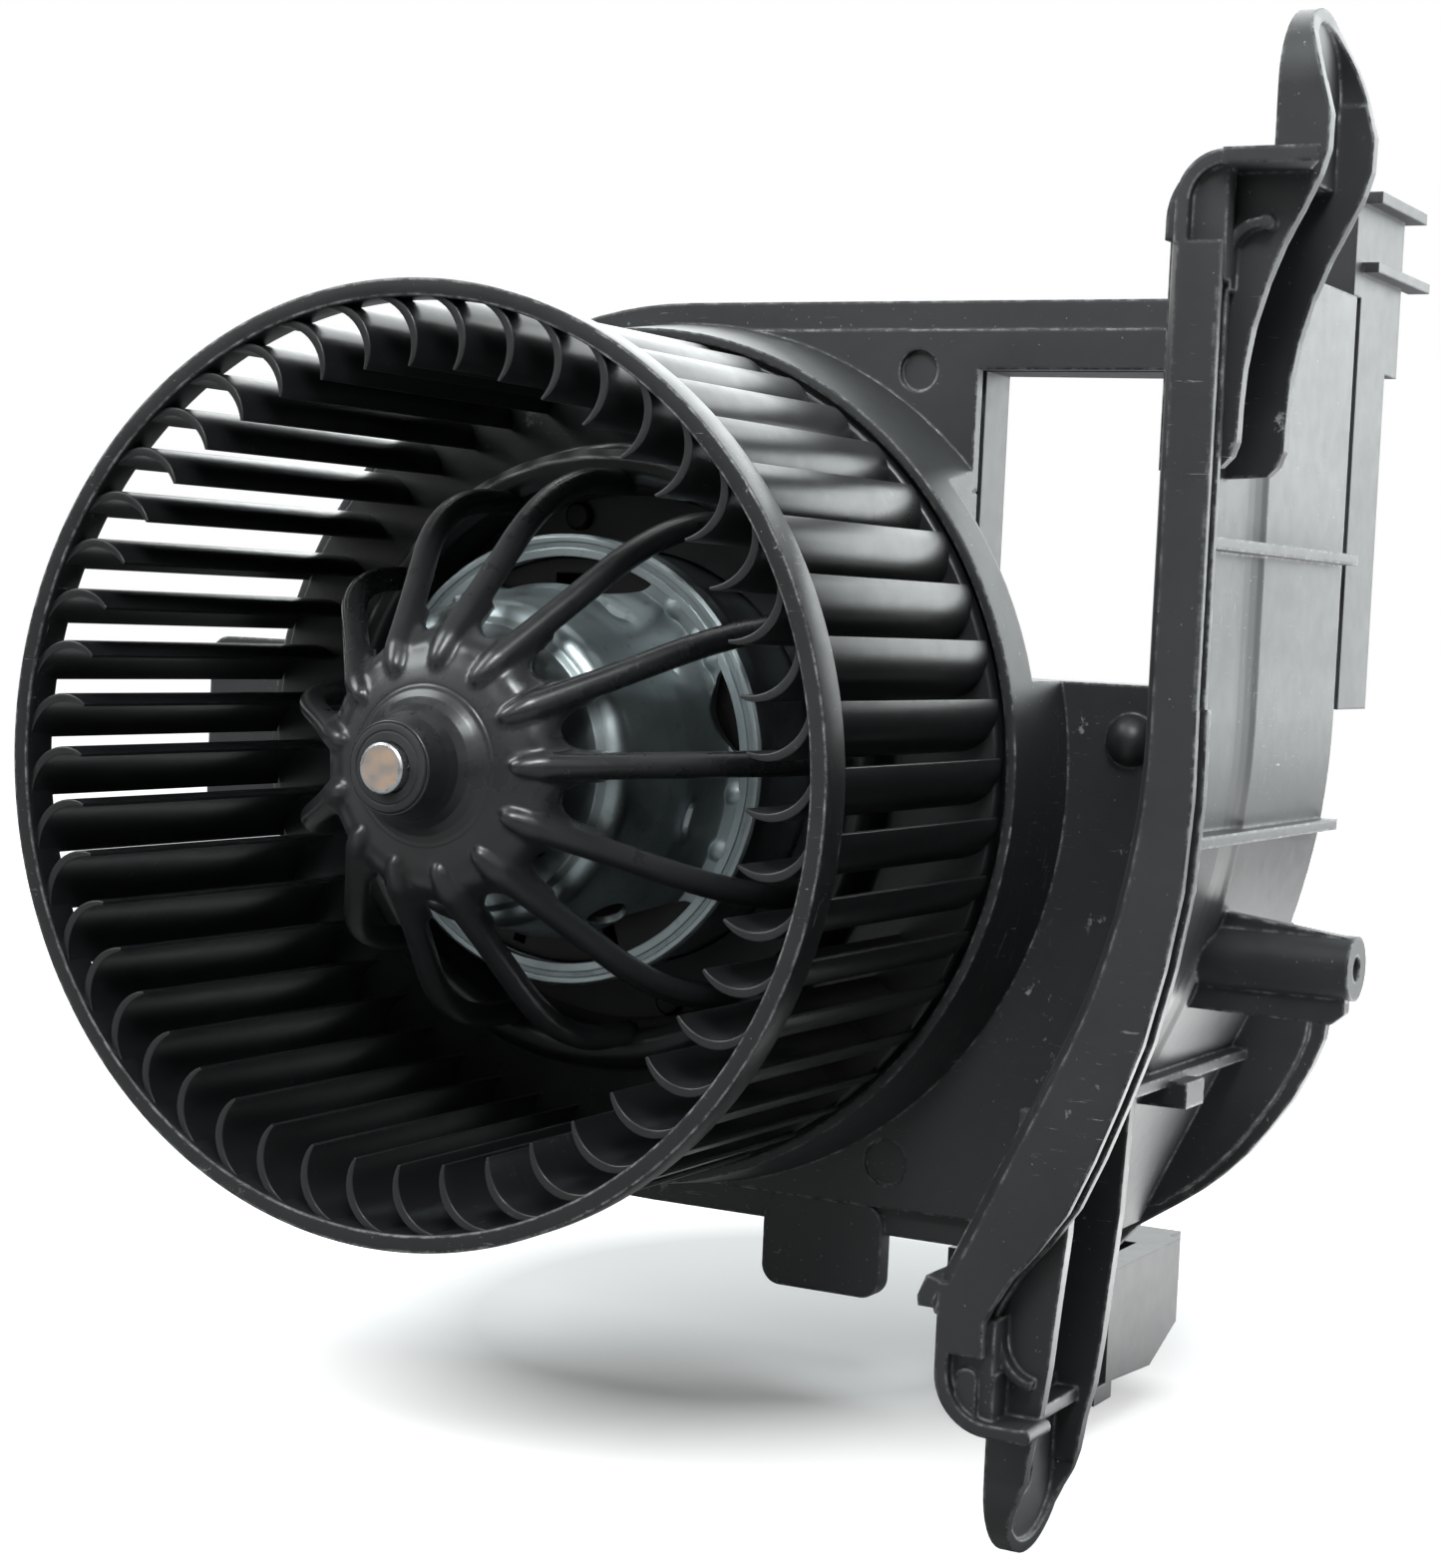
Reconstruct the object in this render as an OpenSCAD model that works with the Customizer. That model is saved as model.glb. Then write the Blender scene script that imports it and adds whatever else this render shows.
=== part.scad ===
// Heater blower: squirrel-cage fan wheel on a direct-current motor, in its housing.
// The wheel turns about the Y axis and its mouth faces -Y. Z is up, X is to the right of the mouth.

/* [Fan wheel] */
// Outer diameter of the front ring
wheel_d = 150; // [148:0.5:151]
// Distance from the origin plane to the back of the wheel
wheel_back_y = 71.6; // [70.5:0.1:72]
// Number of blades
blade_count = 47; // [35:1:49]
// Thickness of a blade
blade_t = 1.1; // [0.9:0.1:1.4]
// Mean radius of a blade's curve
blade_curve_r = 7.4; // [7:0.1:7.8]
// Angle that a blade's curve sweeps
blade_sweep = 119; // [110:1:122]
// Radial thickness of the front ring
ring_t = 2.8; // [2.2:0.1:3.2]
// Length of the front ring
ring_len = 6.4; // [4:0.2:9]
// Thickness of the back disc
disc_t = 3.6; // [2.4:0.1:4]

/* [Wheel hub] */
// Number of spokes
spoke_count = 13; // [9:1:14]
// Diameter of a spoke
spoke_d = 4.4; // [3.6:0.1:4.8]
// Radius of the spoke bell at its back end
bell_r = 47.5; // [47:0.1:48.5]
// Diameter of the hub's spigot at the front
spigot_d = 14; // [13:0.5:15]
// Thickness of the hub dome
dome_t = 2.6; // [2:0.1:3]

/* [Motor] */
// Diameter of the motor shaft
shaft_d = 8; // [7:0.1:8.5]
// How far the shaft stands out in front of the origin plane
shaft_out = 3.1; // [1.5:0.1:5]
// Outer diameter of the front cap
cap_d = 51; // [50:0.5:53]
// Outer diameter of the rolled rim
rim_d = 76.4; // [75:0.2:77]
// Outer diameter of the motor case
case_d = 72; // [71:0.2:72.4]
// Distance from the origin plane to the back of the motor case
case_back_y = 108; // [107:0.5:110]
// Thickness of the drawn steel parts
steel_t = 1.4; // [1:0.1:1.6]
// Diameter of the armature
armature_d = 51; // [46:0.5:52]
// Length of the armature's stack
stack_len = 30; // [24:1:31]
// Number of armature slots
armature_slots = 12; // [8:1:13]
// Gap between the armature and the magnets
air_gap = 0.8; // [0.5:0.1:1.2]
// Diameter of the commutator
commutator_d = 22; // [20:0.5:23]
// Radial gap between the shaft and its bearings
running_gap = 0.03; // [0.02:0.01:0.08]

/* [Housing] */
// Distance from the origin plane to the front face of the base plate
plate_y = 87; // [86.5:0.5:88]
// Thickness of the base plate and the walls
wall_t = 2.4; // [2:0.1:2.8]
// Half of the base plate's height
plate_half_h = 81; // [80:0.5:82]
// Distance from the wheel's axis to the inside of the side wall
side_x = 119.2; // [118:0.2:120]
// Inside radius of the bend in the side wall
bend_r = 111.8; // [108:0.5:114]
// Angle of the bend in the side wall
bend_angle = 25; // [24:0.5:26]
// Height at which the bend starts
bend_z = 13.5; // [12:0.5:15]
// Depth of the two lips along the front edge
lip_w = 6; // [4:0.2:6.4]
// Left side of the outlet
outlet_x = 57; // [55:0.5:60]
// Lower side of the outlet
outlet_z0 = 17.2; // [16:0.2:22]
// Upper side of the outlet
outlet_z1 = 69.2; // [62:0.2:70]
// Diameter of the screw holes in the two ears
ear_hole_d = 5.2; // [4:0.1:6]
// Outer diameter of the side boss
boss_d = 9.8; // [8:0.1:11]
// Diameter of the screw hole in the side boss
boss_hole_d = 3.8; // [3:0.1:4.4]
// Gap between the wheel and the collar round its back
wheel_gap = 0.9; // [0.6:0.1:1.2]

/* [Hidden] */
$fn = 64;

fit = 0.02;
slack = 0.1;
overlap = 0.3;
// a bend is this much wider than the straight bars it joins
joint_step = 0.1;
mouth_y = -0.7;

wheel_r = wheel_d / 2;
blade_edge_r = wheel_r - ring_t;
blade_centre_r = wheel_r - 10.1;
blade_centre_z = 6.65;
disc_y = wheel_back_y - disc_t;
bell_lip_y = disc_y - 7.8;
hub_ring_r = bell_r + 2.9;

shaft_r = shaft_d / 2;
spigot_r = spigot_d / 2;
hub_back_y = 21;

cap_r = cap_d / 2;
cap_y = 24.7;
flange_y = 51.5;
rim_r = rim_d / 2;
case_r = case_d / 2;
case_in_r = case_r - steel_t;
case_y = flange_y + steel_t + slack;
bearing_r = 8.7;
bearing_len = 6.6;
seat_r = bearing_r + 0.05;
front_bearing_y = cap_y + steel_t + slack;
rear_bearing_y = case_back_y - steel_t - slack - bearing_len;

armature_r = armature_d / 2;
stack_y = 63.6;
magnet_in_r = armature_r + air_gap;
commutator_r = commutator_d / 2;
commutator_y = 38;
brush_plate_y = case_y + slack;
brush_plate_t = 2.4;
brush_y = brush_plate_y - 5;
lead_r = 1.3;
lead_orbit = 30.3;
lead_gap = 3.2;
lead_angle = -45;
lead_y = case_back_y + 3.4;
lead_end_x = 70.2;
terminal_z = -86.5;

collar_r = blade_edge_r + wheel_gap;
collar_y = 70;
floor_y = 75;
damper_t = 3;
pocket_r = case_r + damper_t;
pocket_back_y = 114;
mount_screw_orbit = pocket_r + 4.4;
cover_screw_orbit = pocket_r + 5;
screw_r = 1.5;

side_y = 3.5;
wall_step = 1.4;
wall_lean = 0.6;
wall_top = 81;
bend_x = side_x - bend_r;
side_low_z = -71;
tail_len = (bend_z - bend_r * sin(bend_angle) - side_low_z) / cos(bend_angle);
flange_back_y = plate_y + wall_t + 1.6;
ear_y0 = 10.4;
ear_y1 = 33.5;
ear_t = 2.2;
ear_hole_y = 21;
top_web_x = 132;
top_hole_z = 101;
low_web_x = 99.8;
low_hole_z = -97.4;
boss_y = 52;
boss_z = -22.3;
boss_x = 138;
duct_back_y = 107;

black = [0.13, 0.13, 0.14];
steel = [0.72, 0.73, 0.75];
copper = [0.72, 0.42, 0.25];
grey = [0.45, 0.46, 0.48];

// ---- shared shapes ----

// Turns the children about the wheel's axis, anticlockwise seen from the mouth.
module at_angle(a) {
    rotate([0, -a, 0]) children();
}

// Repeats the children evenly about the wheel's axis.
module around(count, first = 0) {
    for (i = [0 : count - 1]) at_angle(first + i * 360 / count) children();
}

// A full turn about the Y axis of a profile of [radius, y] points.
module turned(points) {
    rotate([-90, 0, 0]) rotate_extrude() polygon(points);
}

// Part of a turn about the Y axis, from one angle through a sweep.
module turned_arc(points, start, sweep) {
    rotate([90, 0, 0])
        rotate([0, 0, start])
            rotate_extrude(angle = sweep) polygon([for (p = points) [p[0], -p[1]]]);
}

// Extrudes an X-Z shape between two distances along Y.
module along_y(y0, y1) {
    translate([0, y1, 0]) rotate([90, 0, 0]) linear_extrude(y1 - y0) children();
}

// Extrudes a Y-Z shape between two distances along X.
module along_x(x0, x1) {
    translate([x0, 0, 0]) rotate([90, 0, 90]) linear_extrude(x1 - x0) children();
}

module ring_y(r0, r1, y0, y1) {
    turned([[r0, y0], [r1, y0], [r1, y1], [r0, y1]]);
}

module rod_y(r, y0, y1) {
    translate([0, y1, 0]) rotate([90, 0, 0]) cylinder(r = r, h = y1 - y0);
}

module rod_x(r, x0, x1) {
    translate([x0, 0, 0]) rotate([0, 90, 0]) cylinder(r = r, h = x1 - x0);
}

// A box from one corner to the opposite one.
module block(from, to) {
    translate(from) cube(to - from);
}

// A rectangle with four rounded corners.
module rounded(x0, y0, x1, y1, r) {
    translate([x0 + r, y0]) square([x1 - x0 - 2 * r, y1 - y0]);
    translate([x0, y0 + r]) square([x1 - x0, y1 - y0 - 2 * r]);
    for (x = [x0 + r, x1 - r])
        for (y = [y0 + r, y1 - r])
            translate([x, y]) circle(r);
}

// Part of a flat ring between two angles less than half a turn apart.
module arc_strip(r0, r1, start, sweep) {
    far = r1 * 3;
    intersection() {
        difference() {
            circle(r1);
            circle(r0);
        }
        polygon([[0, 0], far * [cos(start), sin(start)],
            far * [cos(start + sweep / 2), sin(start + sweep / 2)],
            far * [cos(start + sweep), sin(start + sweep)]]);
    }
}

// A screw along Y with a round head at its front.
module screw_y(r, head_r, y0, y1) {
    turned([[0, y0], [head_r - 0.5, y0], [head_r, y0 + 0.5], [head_r, y0 + 1.7],
        [r, y0 + 1.7], [r, y1 - 0.6], [r - 0.6, y1], [0, y1]]);
}

// ---- rotor ----

module fan_blade() {
    inner = blade_curve_r - blade_t / 2;
    outer = blade_curve_r + blade_t / 2;
    translate([blade_centre_r, 0, blade_centre_z])
        turned_arc([[inner, mouth_y], [outer, mouth_y], [outer, disc_y + overlap],
            [inner, disc_y + overlap]], -116.4, blade_sweep);
}

// A spoke leaves the dome at 45 degrees and curves round to run along the axis.
module fan_spoke() {
    curve_r = 36;
    curve_x = bell_r - curve_r;
    curve_y = disc_y - 12.7;
    nose = [20, 12.5];
    foot = [curve_x + curve_r * cos(45), curve_y - curve_r * sin(45)];
    shoulder = [foot[0] - 11.5, foot[1] - 11.5];
    translate([shoulder[0], shoulder[1], 0])
        rotate([0, 0, -45]) rotate([-90, 0, 0])
            cylinder(d = spoke_d, h = norm(foot - shoulder));
    translate([nose[0], nose[1], 0])
        rotate([0, 0, -45]) rotate([-90, 0, 0])
            cylinder(r1 = 0.9, r2 = spoke_d / 2, h = norm(shoulder - nose));
    translate([nose[0], nose[1], 0]) sphere(0.9);
    translate([curve_x, curve_y, 0])
        rotate([0, 0, -45])
            rotate_extrude(angle = 45) translate([curve_r, 0]) circle(d = spoke_d + joint_step);
    translate([bell_r, curve_y, 0])
        rotate([-90, 0, 0]) cylinder(d = spoke_d, h = bell_lip_y + 3 - curve_y);
}

module hub_dome() {
    t = dome_t;
    difference() {
        turned([[spigot_r + fit, -1], [spigot_r + 0.6, 0], [spigot_r + 1.2, 3], [spigot_r + 1.7, 4.6],
            [spigot_r + 2.9, 6.2], [spigot_r + 4.7, 7.5], [12.4, 8], [12.8, 8.7], [13.4, 8.8],
            [13.8, 8.6], [16, 9.4], [18, 10.4], [24, 14.2], [28.2, 17.2], [28.2, 17.2 + t],
            [24, 14.4 + t], [18, 10.8 + t], [13, 9.2 + t], [9, 10.5 + t], [9, hub_back_y],
            [shaft_r + fit, hub_back_y], [shaft_r + fit, 5], [spigot_r + fit, 5]]);
        around(spoke_count, 3.2 + 180 / spoke_count)
            translate([28.2, 0, 0]) rod_y(4, 8, 26);
    }
}

module fan_wheel() {
    lip = bell_lip_y;
    color(black) {
        ring_y(blade_edge_r, wheel_r, mouth_y, mouth_y + ring_len);
        intersection() {
            around(blade_count, -2) fan_blade();
            rod_y(blade_edge_r + overlap, mouth_y - 1, disc_y + 1);
        }
        turned([[hub_ring_r + fit, wheel_back_y], [hub_ring_r + fit, lip], [bell_r + 4.2, lip],
            [bell_r + 5.9, lip + 1.8], [bell_r + 5.9, disc_y], [blade_edge_r, disc_y],
            [blade_edge_r, wheel_back_y]]);
    }
}

// The dome, its spokes and the ring that is pressed into the blade cage.
module wheel_hub() {
    lip = bell_lip_y;
    color(black) {
        turned([[bell_r, wheel_back_y], [bell_r, lip + 1.8], [bell_r + 1.8, lip],
            [hub_ring_r, lip], [hub_ring_r, wheel_back_y]]);
        around(spoke_count, 3.2) fan_spoke();
        hub_dome();
    }
}

module hub_clamp_ring() {
    color([0.06, 0.06, 0.07])
        turned([[shaft_r + fit, -1.3], [spigot_r - 1.5, -1.3], [spigot_r - 1.3, -1.1],
            [spigot_r - 1.1, -1.3], [spigot_r, -1.2], [spigot_r, 4.9], [shaft_r + fit, 4.9]]);
}

module motor_shaft() {
    color(steel)
        turned([[0, -shaft_out], [shaft_r - 0.3, -shaft_out], [shaft_r, 0.3 - shaft_out],
            [shaft_r, case_back_y - 0.4], [shaft_r - 0.6, case_back_y + 0.2], [0, case_back_y + 0.2]]);
}

module shaft_spacer() {
    color(steel) {
        ring_y(shaft_r + fit, 5.9, hub_back_y, front_bearing_y - 0.15);
        ring_y(shaft_r + fit, 6.6, front_bearing_y + bearing_len + 0.15, commutator_y);
        ring_y(shaft_r + fit, 6.6, stack_y + stack_len + 0.5, rear_bearing_y - 0.15);
    }
}

module commutator() {
    color(copper)
        difference() {
            turned([[shaft_r + fit, commutator_y], [commutator_r, commutator_y],
                [commutator_r, stack_y - 8], [commutator_r + 1.2, stack_y - 8],
                [commutator_r + 1.2, stack_y - 6.2], [shaft_r + fit, stack_y - 6.2]]);
            around(armature_slots)
                block([commutator_r - 1, commutator_y - 1, -0.3], [commutator_r + 2, stack_y - 6, 0.3]);
        }
}

module armature_core() {
    color(grey)
        along_y(stack_y, stack_y + stack_len)
            difference() {
                circle(armature_r);
                circle(shaft_r + fit);
                for (i = [0 : armature_slots - 1])
                    rotate(i * 360 / armature_slots) {
                        translate([armature_r - 6.5, 0]) circle(3.4);
                        translate([armature_r - 5, -1.1]) square([8, 2.2]);
                    }
            }
}

module armature_windings() {
    front = stack_y - 0.1;
    back = stack_y + stack_len + 0.1;
    color(copper) {
        turned([[9, front], [8.4, front - 4.6], [9.6, front - 6], [16, front - 6.2],
            [21, front - 5], [23.4, front - 2], [23.4, front]]);
        turned([[9, back], [9, back + 2.6], [11, back + 3.8], [17, back + 3.9],
            [21.6, back + 3], [23.4, back + 1], [23.4, back]]);
        around(armature_slots)
            translate([armature_r - 6.5, 0, 0]) rod_y(3, front - 1, back + 1);
    }
}

// ---- motor stator ----

module motor_front_cap() {
    t = steel_t;
    color(steel)
        difference() {
            turned([[6.4, cap_y], [cap_r - 3.1, cap_y], [cap_r - 2.7, cap_y + 0.5], [cap_r - 2.7, cap_y + 1.1],
                [cap_r - 1.5, cap_y + 1.3], [cap_r - 0.5, cap_y + 2], [cap_r, cap_y + 3.2],
                [cap_r + 0.6, flange_y - 6], [cap_r + 1.4, flange_y - 2.6], [cap_r + 2.4, flange_y - 0.8],
                [cap_r + 3.8, flange_y], [rim_r - 1.3, flange_y], [rim_r - 1.3, flange_y + t],
                [cap_r + 3.2, flange_y + t], [cap_r + 1.4, flange_y + 0.1], [cap_r + 0.3, flange_y - 2.2],
                [cap_r - 0.5, flange_y - 6], [cap_r - t, cap_y + 3.6], [cap_r - t - 1.2, cap_y + t + 1],
                [cap_r - 3.6, cap_y + t + 0.6], [cap_r - 4, cap_y + t], [seat_r + t, cap_y + t],
                [seat_r + t, front_bearing_y + bearing_len], [seat_r, front_bearing_y + bearing_len],
                [seat_r, cap_y + t], [6.4, cap_y + t]]);
            along_y(flange_y - 0.5, flange_y + t + 0.5) {
                arc_strip(cap_r + 3.8, 34, 62, 56);
                arc_strip(cap_r + 3.8, 34, -120, 80);
                arc_strip(cap_r + 3.8, 34, 5, 23);
                arc_strip(cap_r + 3.8, 34, 150, 60);
            }
            around(4, 45) translate([17, 0, 0]) rod_y(2.2, cap_y - 1, cap_y + t + 1);
            for (a = [-58, 122]) at_angle(a) rod_x_at(42, 0, 3.4, 20, 32);
        }
}

module motor_case() {
    t = steel_t;
    color(steel)
        difference() {
            turned([[34.4, flange_y - t - slack], [35.8, flange_y - t - slack], [36, flange_y - t + 0.3],
                [36.7, flange_y - t + 0.3], [36.9, flange_y - t - slack], [rim_r - 0.5, flange_y - t - slack],
                [rim_r, flange_y - t + 0.4], [rim_r, case_y + t - 0.4], [rim_r - 0.4, case_y + t],
                [case_r, case_y + t], [case_r, case_back_y - 2], [case_r - 2, case_back_y],
                [6.4, case_back_y], [6.4, case_back_y - t], [seat_r, case_back_y - t],
                [seat_r, rear_bearing_y], [seat_r + t, rear_bearing_y], [seat_r + t, case_back_y - t],
                [case_in_r - 1.6, case_back_y - t], [case_in_r, case_back_y - t - 1.6],
                [case_in_r, case_y], [rim_r - 1.2, case_y], [rim_r - 1.2, flange_y - slack],
                [34.4, flange_y - slack]]);
            at_angle(lead_angle) translate([lead_orbit - 1, 0, 0]) rod_y(4, case_back_y - 5, case_back_y + 1);
        }
}

module field_magnets() {
    outer = case_in_r - slack;
    color([0.2, 0.2, 0.22])
        for (a = [45, 225])
            turned_arc([[magnet_in_r, 61], [outer, 61], [outer, 96.5], [magnet_in_r, 96.5]],
                a - 64, 128);
}

// A bent strip that pushes the two magnets apart, in the gap that the leads don't use.
module magnet_spring() {
    color(steel)
        at_angle(135) {
            turned_arc([[case_in_r - 1.4, 64], [case_in_r - slack, 64], [case_in_r - slack, 93],
                [case_in_r - 1.4, 93]], -25.6, 51.2);
            for (s = [-1, 1])
                at_angle(s * 24.2)
                    block([27.6, 64, -0.5], [case_in_r - 0.6, 93, 0.5]);
        }
}

module front_bearing() {
    color([0.6, 0.5, 0.35])
        ring_y(shaft_r + running_gap, bearing_r, front_bearing_y, front_bearing_y + bearing_len);
}

module rear_bearing() {
    color([0.6, 0.5, 0.35])
        ring_y(shaft_r + running_gap, bearing_r, rear_bearing_y, rear_bearing_y + bearing_len);
}

module bearing_retainers() {
    front = front_bearing_y + bearing_len + slack;
    back = rear_bearing_y - slack;
    color(steel) {
        ring_y(7.2, seat_r + steel_t, front, front + 0.8);
        ring_y(7.2, seat_r + steel_t, back - 0.8, back);
    }
}

module brush_plate() {
    y0 = brush_plate_y;
    y1 = brush_plate_y + brush_plate_t;
    color([0.25, 0.25, 0.27])
        difference() {
            ring_y(commutator_r + 2, case_in_r - 0.3, y0, y1);
            along_y(y0 - 1, y1 + 1) {
                for (a = [-105, -72]) rotate(a) translate([29, -1.2]) square([4, 2.4]);
                rotate(90) translate([28.6, -4]) square([3, 8]);
            }
        }
}

module brush_holders() {
    x0 = commutator_r + 1.4;
    color([0.75, 0.6, 0.3])
        for (s = [0, 180])
            at_angle(s)
                difference() {
                    block([x0, brush_y - 5, -4], [cap_r - steel_t - 0.6, brush_y + 5, 4]);
                    block([x0 - 1, brush_y - 4, -3.1], [cap_r - steel_t - 1.4, brush_y + 4, 3.1]);
                }
}

module carbon_brushes() {
    color([0.15, 0.15, 0.16])
        for (s = [0, 180])
            at_angle(s)
                difference() {
                    block([commutator_r - 0.7, brush_y - 3.9, -3], [commutator_r + 7.5, brush_y + 3.9, 3]);
                    rod_y(commutator_r + 0.3, brush_y - 6, brush_y + 6);
                }
}

module brush_springs() {
    x0 = commutator_r + 7.6;
    x1 = cap_r - steel_t - 1.5;
    turns = floor((x1 - x0 - 0.9) / 0.8);
    color(steel)
        for (s = [0, 180])
            at_angle(s)
                for (i = [0 : turns])
                    translate([x0 + 0.45 + i * 0.8, brush_y, 0])
                        rotate([0, 90, 0]) rotate_extrude() translate([2, 0]) circle(d = 0.9, $fn = 24);
}

module suppression_chokes() {
    y = brush_plate_y - 2.9;
    color(copper)
        for (s = [0, 180])
            at_angle(s)
                translate([0, y, 17.4]) {
                    rod_x(1.4, -8.5, 8.5);
                    rod_x(2.8, -6.5, 6.5);
                }
}

// One lead: along the motor, out to the side, then down to the connector.
module power_lead(side) {
    orbit = lead_orbit;
    bend = 2.4;
    out_len = 68 + side * 0.66;
    drop = 14.8 + side * 0.66;
    at_angle(lead_angle)
        translate([0, 0, side * lead_gap / 2]) {
            translate([orbit, 0, 0]) rod_y(lead_r, brush_plate_y + brush_plate_t, lead_y - bend);
            translate([orbit + bend, lead_y - bend, 0])
                rotate([0, 0, 90]) rotate_extrude(angle = 90) translate([bend, 0]) circle(lead_r + joint_step / 2);
            translate([0, lead_y, 0]) rod_x(lead_r, orbit + bend, orbit + out_len);
            translate([orbit + out_len, lead_y, -bend])
                rotate([90, 0, 0]) rotate([0, 0, 45]) rotate_extrude(angle = 45)
                    translate([bend, 0]) circle(lead_r + joint_step / 2);
            translate([orbit + out_len + bend * sin(45), lead_y, -bend + bend * cos(45)])
                rotate([0, -45, 0]) translate([0, 0, -drop]) cylinder(r = lead_r, h = drop + 0.2);
        }
}

module power_leads() {
    color([0.5, 0.08, 0.06]) power_lead(1);
    color([0.08, 0.08, 0.09]) power_lead(-1);
}

module lead_grommet() {
    y1 = case_back_y;
    color([0.08, 0.08, 0.09])
        at_angle(lead_angle)
            difference() {
                translate([lead_orbit - 1, 0, 0])
                    turned([[0, y1 - steel_t - 1], [3.9, y1 - steel_t - 1], [3.9, y1 + slack],
                        [4.9, y1 + slack], [4.9, y1 + 0.6], [4.6, y1 + 0.9], [0, y1 + 0.9]]);
                for (s = [-1, 1])
                    translate([lead_orbit, 0, s * lead_gap / 2]) rod_y(lead_r + 0.05, 90, 120);
            }
}

module damper_rings() {
    color([0.1, 0.1, 0.1])
        for (y = [79, 101])
            turned([[case_r + 0.05, y], [pocket_r - 0.05, y], [pocket_r - 0.05, y + 2],
                [pocket_r - 0.8, y + 2.5], [pocket_r - 0.8, y + 3.5], [pocket_r - 0.05, y + 4],
                [pocket_r - 0.05, y + 6], [case_r + 0.05, y + 6]]);
}

module motor_mount_ring() {
    y0 = floor_y - 2.4;
    color(steel)
        difference() {
            ring_y(case_r + 0.4, mount_screw_orbit + 2.6, y0, floor_y - slack / 2);
            around(4, 15) translate([mount_screw_orbit, 0, 0]) rod_y(screw_r + 0.2, y0 - 1, floor_y + 1);
        }
}

module mount_screws() {
    y0 = floor_y - 2.4 - 1.75;
    color(steel)
        around(4, 15) translate([mount_screw_orbit, 0, 0]) screw_y(screw_r, 2.5, y0, y0 + 11);
}

// ---- housing ----

// The plate's outline in X-Z, drawn in by a margin on its top, bottom and left.
module plate_outline(margin) {
    h = plate_half_h - margin;
    edge = side_x + wall_t / 2;
    circle(h);
    m = margin / 2;
    polygon([[0, h], [edge, h], [edge, 8], [edge - 1.9, -8], [edge - 4.4, -20], [121 - m, -25.5],
        [122.8 - m, -30], [123.4 - m, -34], [122.9 - m, -38.5], [121.2 - m, -43], [118.2 - m, -48.9],
        [114.7 - m, -54], [111.2 - m, -58.6], [107.4 - m, -62.5], [103.8 - m, -65.6], [99.9 - m, -68.4],
        [93 - m, -73 + m], [86 - margin, -h], [0, -h]]);
}

// A cross-section of [distance outward, y] points carried along the side wall's path.
module side_run(points, top, low_len) {
    if (top > bend_z)
        translate([side_x, 0, bend_z]) linear_extrude(top - bend_z) polygon(points);
    translate([bend_x, 0, bend_z]) {
        turned_arc([for (p = points) [bend_r + p[0], p[1]]], -bend_angle, bend_angle);
        at_angle(-bend_angle)
            translate([bend_r, 0, -low_len]) linear_extrude(low_len) polygon(points);
    }
}

// A rib along Y whose root follows the step in the side wall.
module side_rib(root, edge, y0, z) {
    block([root - wall_step, y0, z], [edge, 44, z + 1.7]);
    block([root, y0, z], [edge, plate_y + wall_t / 2, z + 1.7]);
}

module side_wall() {
    t = wall_t;
    back = plate_y + t / 2;
    lip = t + lip_w;
    step = wall_step;
    lean = wall_lean;
    // the wall, which steps outward half way back
    side_run([[0, back], [0, 49.8], [-lean, 47.6], [-lean, 9.4], [0.3, 7.4], [2, side_y + 1.4],
        [t + 0.6, side_y + 1.4], [t + 0.6, 8.2], [t - step, 8.6], [t - step, 43.4], [t - step + 0.3, 45.5],
        [t - step + 0.8, 47.2], [t, 48.4], [t, back]], wall_top, tail_len);
    // the front lip and the thinner one behind it, with a groove between
    side_run([[2, side_y + 0.3], [2.3, side_y], [lip - 0.3, side_y], [lip, side_y + 0.3],
        [lip, side_y + 1.4], [2, side_y + 1.4]], wall_top - 2, tail_len - 1);
    side_run([[0, 8.2], [lip - 0.4, 8.2], [lip - 0.4, 9.4], [0, 9.4]], wall_top - 8, tail_len - 10);
    // both lips are wider along the lower half
    for (y = [[side_y, side_y + 1.4], [8, 9.6]])
        along_y(y[0], y[1])
            polygon([[123, 16], [127.7, 16], [127.8, 4], [127, -9], [125.1, -20], [122.6, -30.4], [119.6, -38.9],
                [116.3, -47.5], [113, -54.9], [108.9, -60.8], [105, -65.5], [102.6, -69.5], [101.4, -72],
                [98, -70], [103.8, -58], [108.4, -48], [112.6, -38], [116, -30], [120, -12], [122, 4]]);
    // a bevel in the corner between the wall and the base plate
    side_run([[-1.4, plate_y + 0.6], [0.5, plate_y - 1.3], [0.5, plate_y + 0.6]],
        plate_half_h - 7, tail_len - 1);
    // ribs along the outside
    side_rib(side_x + 1, side_x + t + 2.6, 9, 38.2);
    side_rib(side_x - 0.4, side_x + t + 1.6, 9, -4.2);
    side_rib(106, 110.6, ear_y0, -42.8);
    block([105.4, 50, -46], [113.5, 58, -42]);
}

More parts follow.
